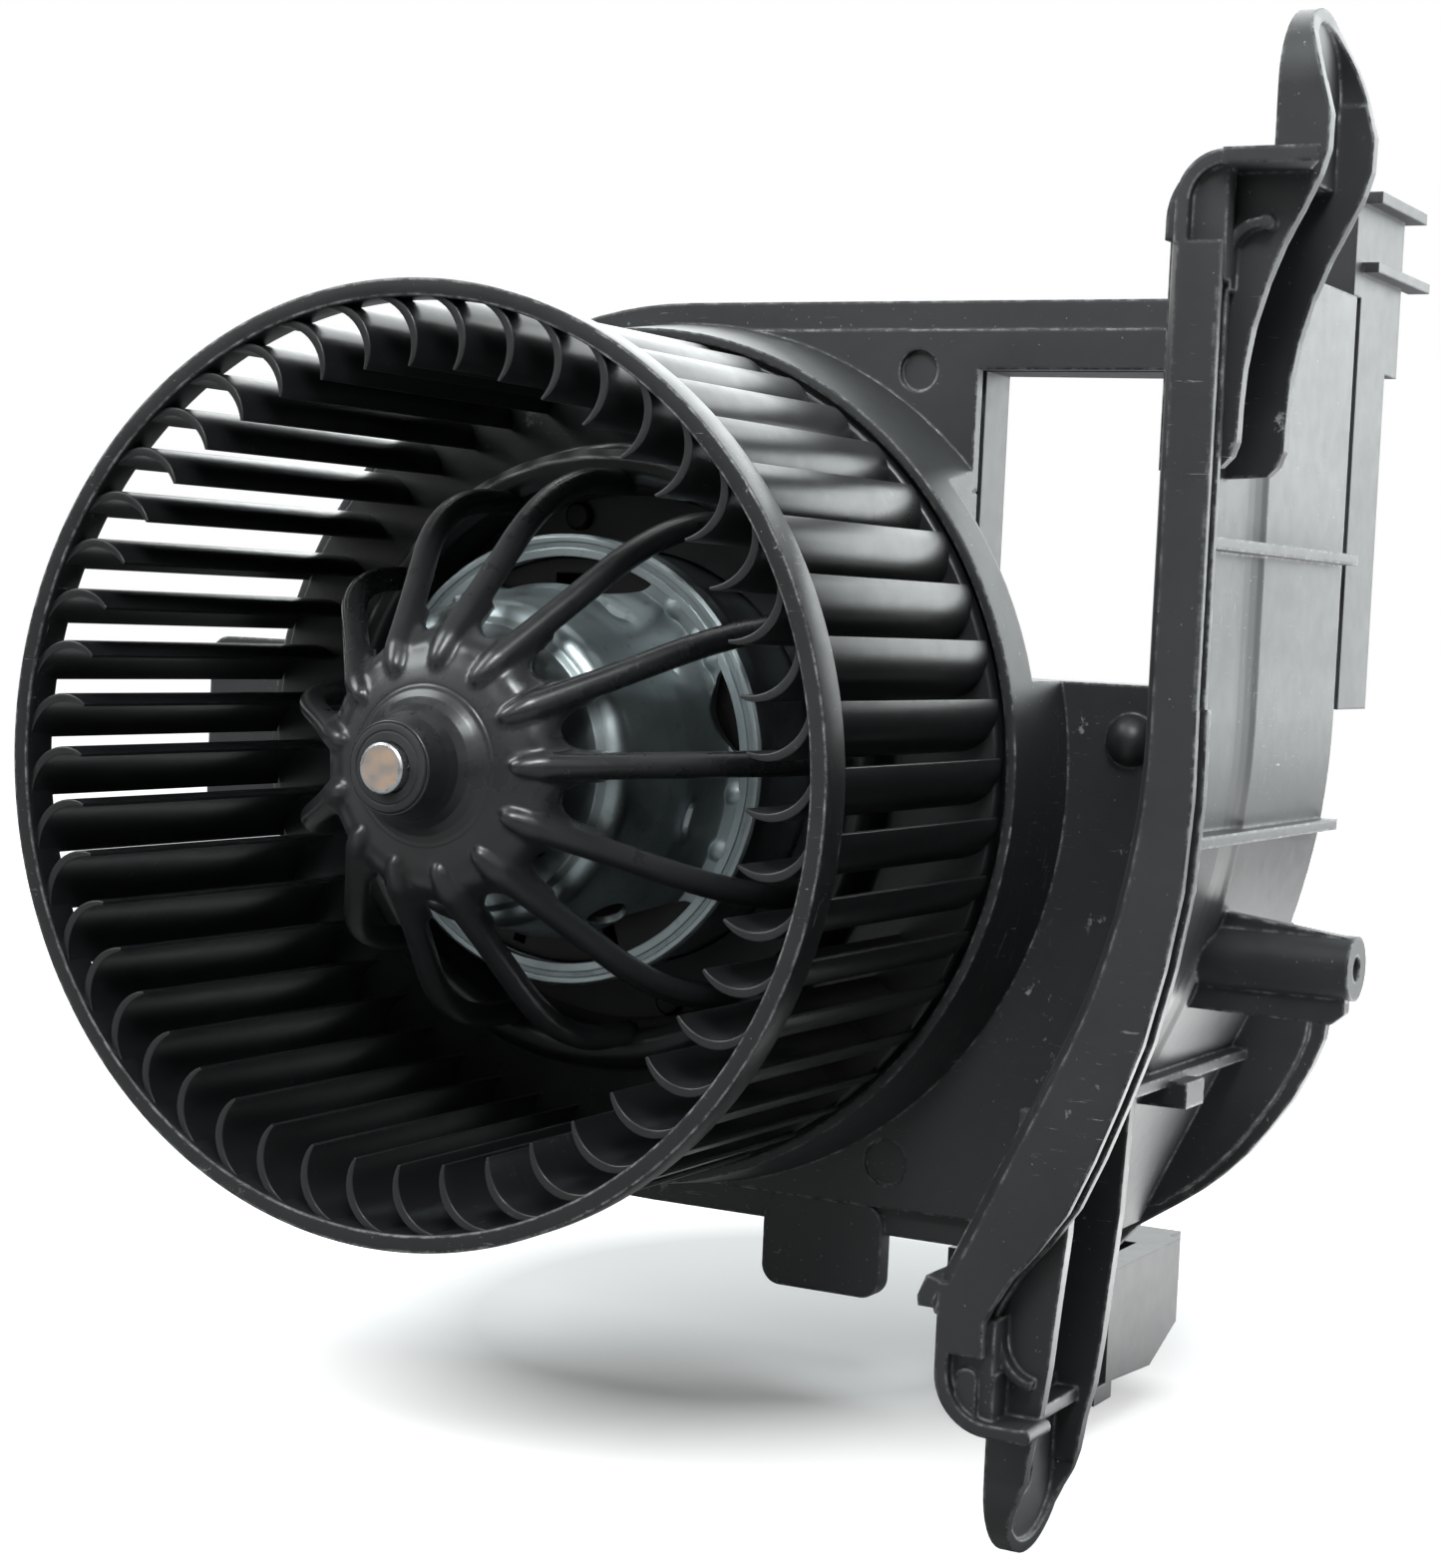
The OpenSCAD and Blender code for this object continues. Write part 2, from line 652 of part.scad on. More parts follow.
// The upper corner of the side wall, where it turns outward into the ear.
module top_corner() {
    x = side_x - wall_lean + 9;
    z = wall_top + 1.1;
    along_y(6.4, ear_y1) {
        translate([x, z]) arc_strip(9 - wall_t, 9, 90, 90);
        translate([x - 9, z - 2.7]) square([wall_t, 2.8]);
    }
    along_y(side_y, 7) {
        translate([x, z + 2.2]) arc_strip(4.9, 6.8, 90, 90);
        translate([x - 6.8, z - 3.6]) square([1.9, 5.9]);
    }
    along_y(5.2, 8.4) {
        translate([x, z + 2.2]) arc_strip(0, 6.6, 90, 90);
        translate([x - 6.6, z - 8.1]) square([6.6, 10.4]);
    }
    // the shelf above the corner, its end drawn back towards the ear's flange
    translate([0, 0, z + 6.8])
        linear_extrude(2.2)
            polygon([[x - 0.1, side_y - 1], [140.8, side_y - 1], [137.6, 9.6], [137.6, ear_y0 + 1],
                [x - 0.1, ear_y0 + 1]]);
    block([x - 0.1, ear_y0, z + 6.8], [top_web_x + 1, ear_y1, z + 9]);
    // the rear lip's hooked end
    along_y(8.2, ear_y0 + 1) {
        translate([131.2, z - 4.4]) arc_strip(3.6, 4.8, 80, 100);
        translate([126.4, z - 9.2]) square([1.2, 4.9]);
        translate([132, z - 0.2]) circle(1);
    }
}

module top_ear_outline() {
    polygon([[side_x - 1.2, 48.5], [126.7, 49], [128.2, 50.6], [128.9, 52.6], [129, 57.5], [129.3, 62.4],
        [130.2, 68], [131.9, 74], [133.9, 79.2], [136.6, 84.6], [138.4, 88.4], [139.4, 91.8], [139.5, 96.6],
        [138.7, 99.4], [137.6, 103.2], [136.6, 106], [135.5, 108.6], [134.7, 110.8], [134.4, 113.5],
        [top_web_x + 1, 113.5], [top_web_x + 1, 90], [128.2, 90], [124, 88.6],
        [121.4, 84], [side_x - 1.2, 80]]);
}

module low_ear_outline() {
    polygon([[111.4, -42.2], [111, -50], [110.6, -59.4], [109.6, -69.5], [108.8, -78.5], [107.9, -85.5],
        [106.6, -90.8], [105.8, -96], [104.9, -99], [103.7, -101.6], [102.9, -104], [102.4, -109.5],
        [low_web_x + 1, -109.5], [low_web_x + 1, -87],
        [97, -84], [95.2, -79], [95.2, -71], [90.8, -71], [90.8, -69.6], [102.4, -45], [102.4, -42.2]]);
}

// The rounded end of an ear about its hole: the web, and the flanges running on as a rim.
module ear_end(x, z, side) {
    mid = (ear_y0 + ear_y1) / 2;
    r = (ear_y1 - ear_y0) / 2;
    difference() {
        union() {
            rod_x_at(mid, z, r, x, x + ear_t);
            block([x, ear_y0, min(z, z - side * 12)], [x + ear_t, ear_y1, max(z, z - side * 12)]);
        }
        rod_x_at(ear_hole_y, z, ear_hole_d / 2, x - 1, x + 6);
    }
    intersection() {
        difference() {
            rod_x_at(mid, z, r, x, x + 12);
            rod_x_at(mid, z, r - 1.9, x - 1, x + 13);
            block([x - 1, ear_y0 - 1, min(z, z - side * r)], [x + 13, ear_y1 + 1, max(z, z - side * r)]);
        }
        along_y(ear_y0 - 1, ear_y1 + 1) children();
    }
}

module rod_x_at(y, z, r, x0, x1) {
    translate([0, y, z]) rod_x(r, x0, x1);
}

module ears() {
    difference() {
        for (y = [ear_y0, ear_y1 - ear_t]) {
            along_y(y, y + ear_t) top_ear_outline();
            along_y(y, y + ear_t) low_ear_outline();
        }
        block([120, 0, top_hole_z], [150, 40, 120]);
        block([90, 0, -120], [120, 40, low_hole_z]);
    }
    along_y(ear_y0, ear_y1) {
        translate([top_web_x, 89]) square([ear_t, 5]);
        translate([low_web_x, -90]) square([ear_t, 5.6]);
    }
    ear_end(top_web_x, top_hole_z, 1) top_ear_outline();
    ear_end(low_web_x, low_hole_z, -1) low_ear_outline();
}

// The lower end of the side wall, curling outward under the lower ear.
module low_corner() {
    along_y(side_y, side_y + 1.6) translate([94.2, -77]) square([7.1, 10]);
    along_y(side_y, ear_y1) translate([102.6, -79.7]) arc_strip(6.5, 8.4, 180, 90);
    along_y(side_y, ear_y1) translate([94.2, -79.8]) square([1.9, 12]);
    along_y(7.4, ear_y1) polygon([[89.3, -70.4], [89.5, -71.8], [96, -71.8], [96, -68.6], [90.6, -67.2]]);
    along_y(side_y, ear_y0 + 1) translate([102.5, -88.1]) square([5.6, 1.9]);
    along_y(side_y, ear_y0 + 1) translate([108.1, -87.1]) circle(1.1);
    along_y(ear_y0, ear_y1) translate([102.5, -88.1]) square([3, 1.9]);
    along_y(5.4, ear_y0 + 1) {
        translate([102.6, -79.7]) arc_strip(0, 8, 180, 90);
        translate([94.6, -79.8]) square([7.8, 8]);
    }
    along_y(4.6, 6) translate([98.7, -83]) rounded(-1.6, -4, 1.6, 4, 1.5);
    along_y(8.2, ear_y0 + 1) translate([108, -75]) arc_strip(5.6, 6.8, 180, 80);
}

module motor_pocket() {
    t = wall_t;
    turned([[collar_r, collar_y], [collar_r + 1.6, collar_y], [plate_half_h - 3.9, plate_y],
        [plate_half_h - 3.9, plate_y + t], [plate_half_h - 6, plate_y + t],
        [collar_r, floor_y + t], [pocket_r + t, floor_y + t], [pocket_r + t, pocket_back_y],
        [pocket_r, pocket_back_y], [pocket_r, floor_y], [collar_r, floor_y]]);
    around(4, 15)
        translate([mount_screw_orbit, 0, 0])
            rod_y(3, floor_y + 1, floor_y + 13);
    around(3, 15)
        translate([cover_screw_orbit, 0, 0])
            difference() {
                rod_y(3.6, pocket_back_y - 14, pocket_back_y - slack);
                rod_y(screw_r + fit, pocket_back_y - 12, pocket_back_y + 1);
            }
    // gussets behind the floor
    around(8, 22.5)
        block([pocket_r + 1, floor_y + 1, -0.9], [collar_r - 0.2, plate_y + t, 0.9]);
    // two pins on the floor
    for (p = [[57, -31.5], [50.7, -40.1]])
        translate([p[0], 0, p[1]]) rod_y(1.3, floor_y - 1.8, floor_y + 1);
}

// The boss stands on the outside of the side wall, on a web, and ends within the wall's thickness.
module side_boss() {
    difference() {
        union() {
            rod_x_at(boss_y, boss_z, boss_d / 2, 108, boss_x);
            along_y(boss_y - 1.8, boss_y + 0.8) translate([0, boss_z])
                polygon([[108, -8], [135, -8.5], [137, -6.8], [137, 4.7], [112, 7.6], [108, 7.6]]);
            block([108, boss_y - 1, boss_z - 1], [137, boss_y + 6.4, boss_z + 1]);
        }
        side_run([[-20, 30], [1.2, 30], [1.2, 75], [-20, 75]], 30, tail_len - 8);
        rod_x_at(boss_y, boss_z, boss_hole_d / 2, boss_x - 14, boss_x + 1);
    }
}

// The walls that close the motor pocket off from the outlet.
module outlet_walls() {
    y1 = plate_y + wall_t;
    intersection() {
        union() {
            block([outlet_x - 2.2, floor_y + 1, outlet_z0 - 2.2], [outlet_x, y1, 60]);
            block([outlet_x - 2.2, floor_y + 1, outlet_z0 - 2.2], [80, y1, outlet_z0]);
        }
        rod_y(collar_r + 1.5, floor_y, y1 + 1);
    }
}

module fan_housing() {
    t = wall_t;
    color(black) {
        difference() {
            union() {
                along_y(plate_y, plate_y + t)
                    difference() {
                        plate_outline(5);
                        circle(plate_half_h - 5);
                    }
                along_y(plate_y + t - 0.8, flange_back_y)
                    difference() {
                        plate_outline(0);
                        plate_outline(6);
                    }
                along_y(plate_y + 0.4, flange_back_y) {
                    rounded(-103, -17, -plate_half_h + 4, 17, 4);
                    rounded(23.8, -92.4, 46.8, -plate_half_h + 5, 3.5);
                }
                motor_pocket();
            }
            block([outlet_x, floor_y + t, outlet_z0], [side_x - 0.8, flange_back_y + 1, outlet_z1]);
            around(4, 15)
                translate([mount_screw_orbit, 0, 0]) rod_y(screw_r + fit, floor_y - 1, floor_y + 11);
            at_angle(lead_angle)
                block([pocket_r - 2, case_back_y, -3.6], [pocket_r + 4, pocket_back_y + 1, 3.6]);
            for (p = [[46, 69, 3.5], [47, -68, 4]])
                translate([p[0], 0, p[1]]) rod_y(p[2], plate_y - 1, plate_y + 1);
        }
        side_wall();
        side_boss();
        outlet_walls();
        top_corner();
        low_corner();
        ears();
        translate([88, plate_y + 0.6, 8])
            difference() {
                sphere(4.5);
                block([-5, 1, -5], [5, 5, 5]);
            }
    }
}

module outlet_duct() {
    t = 2.2;
    y0 = flange_back_y + slack;
    x1 = side_x + t;
    color(grey) {
        difference() {
            union() {
                block([outlet_x - t, y0, outlet_z0 - t], [x1, duct_back_y, outlet_z1 + t]);
                block([92, y0, outlet_z1 + 1], [x1, 114, 97]);
                block([92, plate_y, plate_half_h + slack], [x1, y0 + 1, 97]);
                block([x1 - 1, y0, 96.2], [x1 + 2.6, 118, 98]);
                block([x1 - 1, y0, 85.2], [x1 + 2.6, 122, 86.8]);
            }
            block([outlet_x, y0 - 1, outlet_z0], [side_x - 0.8, duct_back_y + 1, outlet_z1]);
            block([92 + t, y0 + t, outlet_z1 + t + 0.8], [side_x - 0.4, 123, 97 - t]);
            translate([outlet_x - t - 1, 101, 0])
                rotate([0, 0, 5]) block([-20, 0, 0], [70, 20, outlet_z1 + 0.5]);
        }
    }
}

module motor_cover() {
    y0 = pocket_back_y + slack / 2;
    color(black)
        difference() {
            union() {
                rod_y(pocket_r + wall_t, y0, y0 + 2.4);
                around(3, 15) translate([cover_screw_orbit, 0, 0]) rod_y(3.6, y0, y0 + 2.4);
                ring_y(18, 20, y0 + 2, y0 + 3.6);
            }
            rod_y(6, y0 - 1, y0 + 5);
            around(3, 15) translate([cover_screw_orbit, 0, 0]) rod_y(screw_r + 0.2, y0 - 1, y0 + 4);
        }
}

module cover_screws() {
    y1 = pocket_back_y + 2.5;
    color(steel)
        around(3, 15)
            translate([cover_screw_orbit, 0, 0])
                turned([[0, y1 - 11], [screw_r - 0.5, y1 - 11], [screw_r, y1 - 10.5], [screw_r, y1],
                    [2.6, y1], [2.6, y1 + 1.2], [2.1, y1 + 1.7], [0, y1 + 1.7]]);
}

module connector_housing() {
    y0 = flange_back_y + slack;
    color(grey)
        difference() {
            union() {
                difference() {
                    union() {
                        along_x(58, 88)
                            polygon([[y0, -82], [126, -82], [126, -97], [113, -102.4], [y0, -101]]);
                        block([62, y0, -84], [84, y0 + 2.4, -72]);
                        block([60, 124, -91], [86, 132, -82]);
                        block([84, 86, -104], [88, y0 + 3, -101]);
                    }
                    along_x(60.4, 85.6)
                        polygon([[y0 + 2.4, -84], [118, -84], [118, -97], [112, -99.8],
                            [y0 + 2.4, -98.6]]);
                    block([61.8, 120.4, -89.4], [84.2, 133, -83.6]);
                    block([63, 104, -85], [83, 117, -80]);
                }
                block([62, 113, -90], [80, 119, -85.2]);
            }
            for (x = [lead_end_x - 3.2, lead_end_x + 3.2])
                block([x - 2.45, 112, terminal_z - 0.45], [x + 2.45, 121, terminal_z + 0.45]);
        }
}

module connector_terminals() {
    color([0.8, 0.65, 0.3])
        for (x = [lead_end_x - 3.2, lead_end_x + 3.2])
            block([x - 2.4, 108, terminal_z - 0.4], [x + 2.4, 128, terminal_z + 0.4]);
}

fan_wheel();
wheel_hub();
hub_clamp_ring();
motor_shaft();
shaft_spacer();
commutator();
armature_core();
armature_windings();
motor_front_cap();
motor_case();
field_magnets();
magnet_spring();
front_bearing();
rear_bearing();
bearing_retainers();
brush_plate();
brush_holders();
carbon_brushes();
brush_springs();
suppression_chokes();
power_leads();
lead_grommet();
damper_rings();
motor_mount_ring();
mount_screws();
fan_housing();
outlet_duct();
motor_cover();
cover_screws();
connector_housing();
connector_terminals();
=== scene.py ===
"""Looks of a blower motor wheel: a squirrel-cage fan on its motor, in a moulded scroll housing.

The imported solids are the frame. The wheel's blades, rings and hub, the clamp ring and the motor's
front cap are made here in finer detail. The other solids stay and are given their finish.
"""

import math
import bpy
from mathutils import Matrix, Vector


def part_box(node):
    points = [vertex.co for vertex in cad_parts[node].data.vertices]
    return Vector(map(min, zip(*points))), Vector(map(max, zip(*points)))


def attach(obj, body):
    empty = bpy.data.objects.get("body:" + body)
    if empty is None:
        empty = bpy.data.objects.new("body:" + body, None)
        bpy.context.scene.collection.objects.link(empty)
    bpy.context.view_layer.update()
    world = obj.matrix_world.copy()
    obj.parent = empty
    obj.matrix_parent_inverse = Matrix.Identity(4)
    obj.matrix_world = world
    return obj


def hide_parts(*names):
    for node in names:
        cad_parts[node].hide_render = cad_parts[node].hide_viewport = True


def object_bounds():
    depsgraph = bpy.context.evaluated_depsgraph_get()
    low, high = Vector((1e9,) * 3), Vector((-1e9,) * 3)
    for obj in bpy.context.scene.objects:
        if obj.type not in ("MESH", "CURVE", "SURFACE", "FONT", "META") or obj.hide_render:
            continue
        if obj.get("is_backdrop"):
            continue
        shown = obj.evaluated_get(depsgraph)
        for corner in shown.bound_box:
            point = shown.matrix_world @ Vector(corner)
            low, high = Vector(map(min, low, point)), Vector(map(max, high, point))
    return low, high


bl_info = {
    "name": "Blower motor wheel",
    "version": (1, 0, 0),
    "blender": (4, 5, 0),
    "location": "3D View > Sidebar > Blower",
    "description": "Makes the visible pieces and finishes of a blower motor wheel",
    "category": "Object",
}

import bmesh
import bpy
from bpy.props import FloatProperty, FloatVectorProperty, IntProperty, PointerProperty
from mathutils import Matrix, Vector

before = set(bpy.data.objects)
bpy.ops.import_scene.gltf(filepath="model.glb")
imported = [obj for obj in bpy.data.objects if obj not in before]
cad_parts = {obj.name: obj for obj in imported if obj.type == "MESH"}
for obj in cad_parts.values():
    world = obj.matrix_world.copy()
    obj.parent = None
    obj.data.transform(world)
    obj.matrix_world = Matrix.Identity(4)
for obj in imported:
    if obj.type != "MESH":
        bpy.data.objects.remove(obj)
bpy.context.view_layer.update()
MM = 0.001


# ---- node graphs ----

class Value:
    """An output of a node, which can stand in a sum."""

    def __init__(self, graph, socket):
        self.graph = graph
        self.socket = socket

    def _sum(self, operation, *parts):
        return self.graph.node("ShaderNodeMath", {"operation": operation}, *parts)

    def __add__(self, other):
        return self._sum("ADD", self, other)

    def __radd__(self, other):
        return self._sum("ADD", other, self)

    def __sub__(self, other):
        return self._sum("SUBTRACT", self, other)

    def __mul__(self, other):
        return self._sum("MULTIPLY", self, other)

    def __truediv__(self, other):
        return self._sum("DIVIDE", self, other)

    def __pow__(self, other):
        return self._sum("POWER", self, other)

    def most(self, other):
        return self._sum("MAXIMUM", self, other)

    def least(self, other):
        return self._sum("MINIMUM", self, other)

    def sine(self):
        return self._sum("SINE", self)


class Graph:
    """The nodes of one material, world or geometry tree."""

    def __init__(self, tree):
        self.tree = tree
        tree.nodes.clear()

    def feed(self, pairs):
        """Give each socket its value: a link, a number or, for None, what it has already."""
        for socket, value in pairs:
            if isinstance(value, Value):
                self.tree.links.new(value.socket, socket)
            elif value is not None:
                socket.default_value = value

    def node(self, kind, settings=None, *values, out=0, **named):
        """A node of that kind: its settings first, then its sockets by order and by name."""
        made = self.tree.nodes.new(kind)
        for key, value in (settings or {}).items():
            setattr(made, key, value)
        sockets = {s.name: s for s in reversed(made.inputs) if s.enabled}
        pairs = list(zip(made.inputs, values))
        pairs += [(sockets[key.replace("_", " ")], value) for key, value in named.items()]
        self.feed(pairs)
        self.made = made
        outputs = [s for s in made.outputs if s.enabled]
        if isinstance(out, str):
            return Value(self, next(s for s in outputs if s.name == out))
        return Value(self, outputs[out]) if outputs else None

    def ramp(self, value, low, high):
        """0 where value is at low, 1 where it is at high, even between them."""
        return self.node("ShaderNodeMapRange", {"clamp": True}, value, low, high, 0.0, 1.0)

    def mix(self, share, first, second):
        """One colour blended into another. A mix node has sockets for each kind of data, hence the numbers."""
        made = self.tree.nodes.new("ShaderNodeMix")
        made.data_type = "RGBA"
        self.feed([(made.inputs[0], share), (made.inputs[6], first), (made.inputs[7], second)])
        return Value(self, made.outputs[2])

    def split(self, vector):
        """The three parts of a vector."""
        self.node("ShaderNodeSeparateXYZ", None, vector)
        return [Value(self, s) for s in self.made.outputs]


class Finish(Graph):
    """A material that reads the piece's own coordinates."""

    def __init__(self, name):
        material = bpy.data.materials.new(name)
        material.use_nodes = True
        super().__init__(material.node_tree)
        self.material = material
        self.place = self.node("ShaderNodeTexCoord", out="Object")

    def noise(self, scale, detail=3.0, stretch=None, seed=0.0, rough=0.5):
        """Noise from about 0.3 to 0.7. scale is in grains per metre."""
        place = self.place
        if stretch or seed:
            place = self.node("ShaderNodeMapping", None, place, (seed, seed, seed), (0, 0, 0), stretch or (1, 1, 1))
        return self.node("ShaderNodeTexNoise", None, Vector=place, Scale=scale, Detail=detail, Roughness=rough)

    def bumps(self, height, depth, normal=None, strength=1.0):
        return self.node("ShaderNodeBump", None, Strength=strength, Distance=depth, Height=height, Normal=normal)

    def rounded(self, radius):
        """The surface's own direction, turned softly over its corners."""
        return self.node("ShaderNodeBevel", {"samples": 4}, Radius=radius)

    def edges(self, soft):
        """1 on a sharp corner, 0 away from it."""
        own = self.node("ShaderNodeNewGeometry", out="Normal")
        along = self.node("ShaderNodeVectorMath", {"operation": "DOT_PRODUCT"}, own, soft, out="Value")
        return self.ramp(along, 0.985, 0.80)

    def done(self, **sockets):
        shader = self.node("ShaderNodeBsdfPrincipled", None, **sockets)
        self.node("ShaderNodeOutputMaterial", None, shader)
        return self.material


def rgb(colour):
    return (colour[0], colour[1], colour[2], 1.0)


# ---- finishes ----

def moulded_plastic(name, colour, roughness=0.42, grain=1.0, scuffs=0.5, soft_edge=0.5 * MM, pale=0.16,
                    whitened=()):
    """Injection-moulded plastic: a satin skin, dull flow marks, fine scratches and whitened corners.

    whitened holds radii about the wheel's axis whose front edges are rubbed pale.
    """
    f = Finish(name)
    soft = f.rounded(soft_edge)
    edge = f.edges(soft)
    flow = f.noise(22, 3, (1, 0.35, 1), rough=0.6)
    skin = f.noise(2600, 2)
    mottle = f.noise(310, 4, seed=3.1)
    hair = f.noise(190, 5, (1, 9, 0.8), seed=7.7, rough=0.7)
    cross = f.noise(230, 5, (0.7, 1, 8), seed=1.9, rough=0.7)
    where = f.ramp(f.noise(38, 3, seed=5.3), 0.54, 0.66)
    scratch = f.ramp(hair, 0.63, 0.68).most(f.ramp(cross, 0.64, 0.69)) * where * scuffs
    rub = edge * f.ramp(f.noise(420, 5, seed=9.0, rough=0.7), 0.46, 0.68) * scuffs
    specks = f.ramp(f.noise(1700, 1, seed=2.2), 0.755, 0.80) * scuffs
    worn = (scratch * 0.45 + rub * 0.85 + specks * 0.35).least(1.0)
    if whitened:
        x, y, z = f.split(f.place)
        reach = (x * x + z * z) ** 0.5
        for radius in whitened:
            line = f.ramp(((reach - radius) ** 2) ** 0.5, 0.26 * MM, 0.06 * MM) * f.ramp(y, 0.5 * MM, -0.1 * MM)
            worn = worn.most(line * f.ramp(f.noise(350, 6, seed=4.4 + radius, rough=0.8), 0.44, 0.62) * 0.55)
    base = f.mix(f.ramp(flow, 0.3, 0.7) * 0.5 + f.ramp(mottle, 0.35, 0.65) * 0.2,
                 rgb([c * 0.8 for c in colour]), rgb([c * 1.3 for c in colour]))
    base = f.mix(worn, base, rgb([pale, pale, pale * 1.02]))
    gloss = (roughness - 0.07) + f.ramp(flow, 0.35, 0.7) * 0.10 + f.ramp(mottle, 0.3, 0.7) * 0.05 + worn * 0.25
    normal = f.bumps(skin * 0.5 + mottle * 0.8 - scratch * 0.8, 0.05 * MM * grain, soft, 0.5)
    return f.done(Base_Color=base, Roughness=gloss, Normal=normal)


def plated_steel(name, colour, roughness=0.27, brushed=1.0):
    """Zinc-plated sheet: a blue-grey bloom, drawn lines round the axis and dull spots."""
    f = Finish(name)
    soft = f.rounded(0.35 * MM)
    bloom = f.noise(75, 4, rough=0.6)
    spots = f.noise(520, 3, seed=4.2)
    drawn = f.noise(330, 5, (1, 7, 1), seed=1.3, rough=0.7)
    base = f.mix(f.ramp(bloom, 0.32, 0.68), rgb([c * 0.80 for c in colour]), rgb(colour))
    base = f.mix(f.ramp(spots, 0.60, 0.72) * 0.35, base, rgb([c * 0.55 for c in colour]))
    gloss = roughness + f.ramp(bloom, 0.3, 0.7) * 0.14 + f.ramp(spots, 0.55, 0.7) * 0.12 + drawn * 0.06
    normal = f.bumps(drawn * brushed + bloom * 0.8, 0.03 * MM, soft, 0.5)
    return f.done(Base_Color=base, Metallic=1.0, Roughness=gloss, Normal=normal)


def turned_metal(name, colour, roughness=0.22, pitch=0.25 * MM):
    """Metal turned or drawn in a tool, with fine rings along its length."""
    f = Finish(name)
    x, y, z = f.split(f.place)
    rings = (y * (2 * math.pi / pitch) + f.noise(300, 2) * 4).sine()
    stain = f.noise(210, 4, seed=2.6)
    base = f.mix(f.ramp(stain, 0.35, 0.7), rgb(colour), rgb([c * 0.72 for c in colour]))
    normal = f.bumps(rings * 0.5 + stain, 0.012 * MM, f.rounded(0.25 * MM), 0.6)
    gloss = roughness + f.ramp(stain, 0.3, 0.75) * 0.16
    return f.done(Base_Color=base, Metallic=1.0, Roughness=gloss, Normal=normal)


def shaft_metal():
    """Ground steel with a heat-tinted, rougher end."""
    f = Finish("ground_steel_shaft")
    x, y, z = f.split(f.place)
    tip = f.ramp(y, -1.2 * MM, -2.9 * MM) * f.ramp((x * x + z * z) ** 0.5, 3.5 * MM, 3.2 * MM)
    stain = f.noise(420, 4, seed=2.6)
    grind = f.noise(900, 3, (1, 12, 1), seed=6.0)
    base = f.mix(tip * f.ramp(stain, 0.15, 0.75), (0.60, 0.61, 0.63, 1), (0.72, 0.46, 0.29, 1))
    base = f.mix(f.ramp(stain, 0.6, 0.75) * 0.5, base, (0.25, 0.17, 0.13, 1))
    normal = f.bumps(grind + stain * 0.6, 0.02 * MM, f.rounded(0.3 * MM), 0.6)
    gloss = 0.2 + f.ramp(stain, 0.3, 0.7) * 0.2 + tip * 0.08
    return f.done(Base_Color=base, Metallic=1.0, Roughness=gloss, Normal=normal)


def wound_wire(name, colour, pitch=0.6 * MM):
    """Enamelled wire laid side by side, with painted shade in the grooves between the turns."""
    f = Finish(name)
    x, y, z = f.split(f.place)
    wander = f.noise(160, 3) * 9
    turns = 2 * math.pi / pitch
    lay = ((x + z) * turns + wander).sine() * 0.5 + ((y * 0.8 + x) * turns + wander).sine() * 0.3
    tone = f.noise(240, 3, seed=4.0)
    base = f.mix(f.ramp(tone, 0.3, 0.7), rgb(colour), rgb([colour[0] * 0.6, colour[1] * 0.5, colour[2] * 0.5]))
    # Painted shade: where lay is lowest, in the grooves between the turns, the colour drops to a fifth.
    base = f.mix(f.ramp(lay, -0.45, -0.75), base, rgb([c * 0.2 for c in colour]))
    return f.done(Base_Color=base, Metallic=0.85, Roughness=0.3 + f.ramp(tone, 0.3, 0.7) * 0.15, Coat_Weight=0.3,
                  Normal=f.bumps(lay, 0.15 * MM))


def stacked_sheet():
    """The edges of stamped sheets, one on another along the shaft."""
    f = Finish("stacked_core_sheet")
    x, y, z = f.split(f.place)
    lines = (y * (2 * math.pi / (0.65 * MM))).sine()
    tone = f.noise(330, 4, (1, 4, 1))
    base = f.mix(f.ramp(lines, 0.1, -0.8), (0.30, 0.30, 0.31, 1), (0.08, 0.08, 0.085, 1))
    base = f.mix(f.ramp(tone, 0.45, 0.7), base, (0.20, 0.17, 0.15, 1))
    return f.done(Base_Color=base, Metallic=0.8, Roughness=0.38 + f.ramp(tone, 0.3, 0.7) * 0.2,
                  Normal=f.bumps(lines, 0.04 * MM))


def pressed_powder(name, colour, roughness=0.6, metallic=0.0):
    """Pressed and fired powder: ferrite, sintered bronze or carbon, with painted shade in its pits."""
    f = Finish(name)
    grain = f.noise(2100, 3)
    tone = f.noise(180, 4, seed=3.0)
    pits = f.ramp(grain, 0.40, 0.32)
    base = f.mix(f.ramp(tone, 0.3, 0.7), rgb([c * 0.75 for c in colour]), rgb([c * 1.2 for c in colour]))
    # Painted shade: the pits are darkened to 0.3 of the colour.
    base = f.mix(pits * 0.7, base, rgb([c * 0.3 for c in colour]))
    return f.done(Base_Color=base, Metallic=metallic, Roughness=roughness + f.ramp(tone, 0.3, 0.7) * 0.12,
                  Normal=f.bumps(grain - pits, 0.06 * MM, f.rounded(0.3 * MM), 0.7))


def rubber(name, colour):
    """Matt rubber with a bloom and a fine skin."""
    f = Finish(name)
    bloom = f.noise(150, 4)
    skin = f.noise(1900, 3, seed=1.0)
    base = f.mix(f.ramp(bloom, 0.4, 0.7) * 0.6, rgb(colour), rgb([c * 2.2 + 0.01 for c in colour]))
    return f.done(Base_Color=base, Roughness=0.62 + f.ramp(bloom, 0.3, 0.7) * 0.15,
                  Normal=f.bumps(skin, 0.04 * MM, f.rounded(0.3 * MM), 0.6))


# ---- mesh helpers ----

def new_piece(name, mesh):
    piece = bpy.data.objects.new(name, mesh)
    bpy.context.scene.collection.objects.link(piece)
    return piece


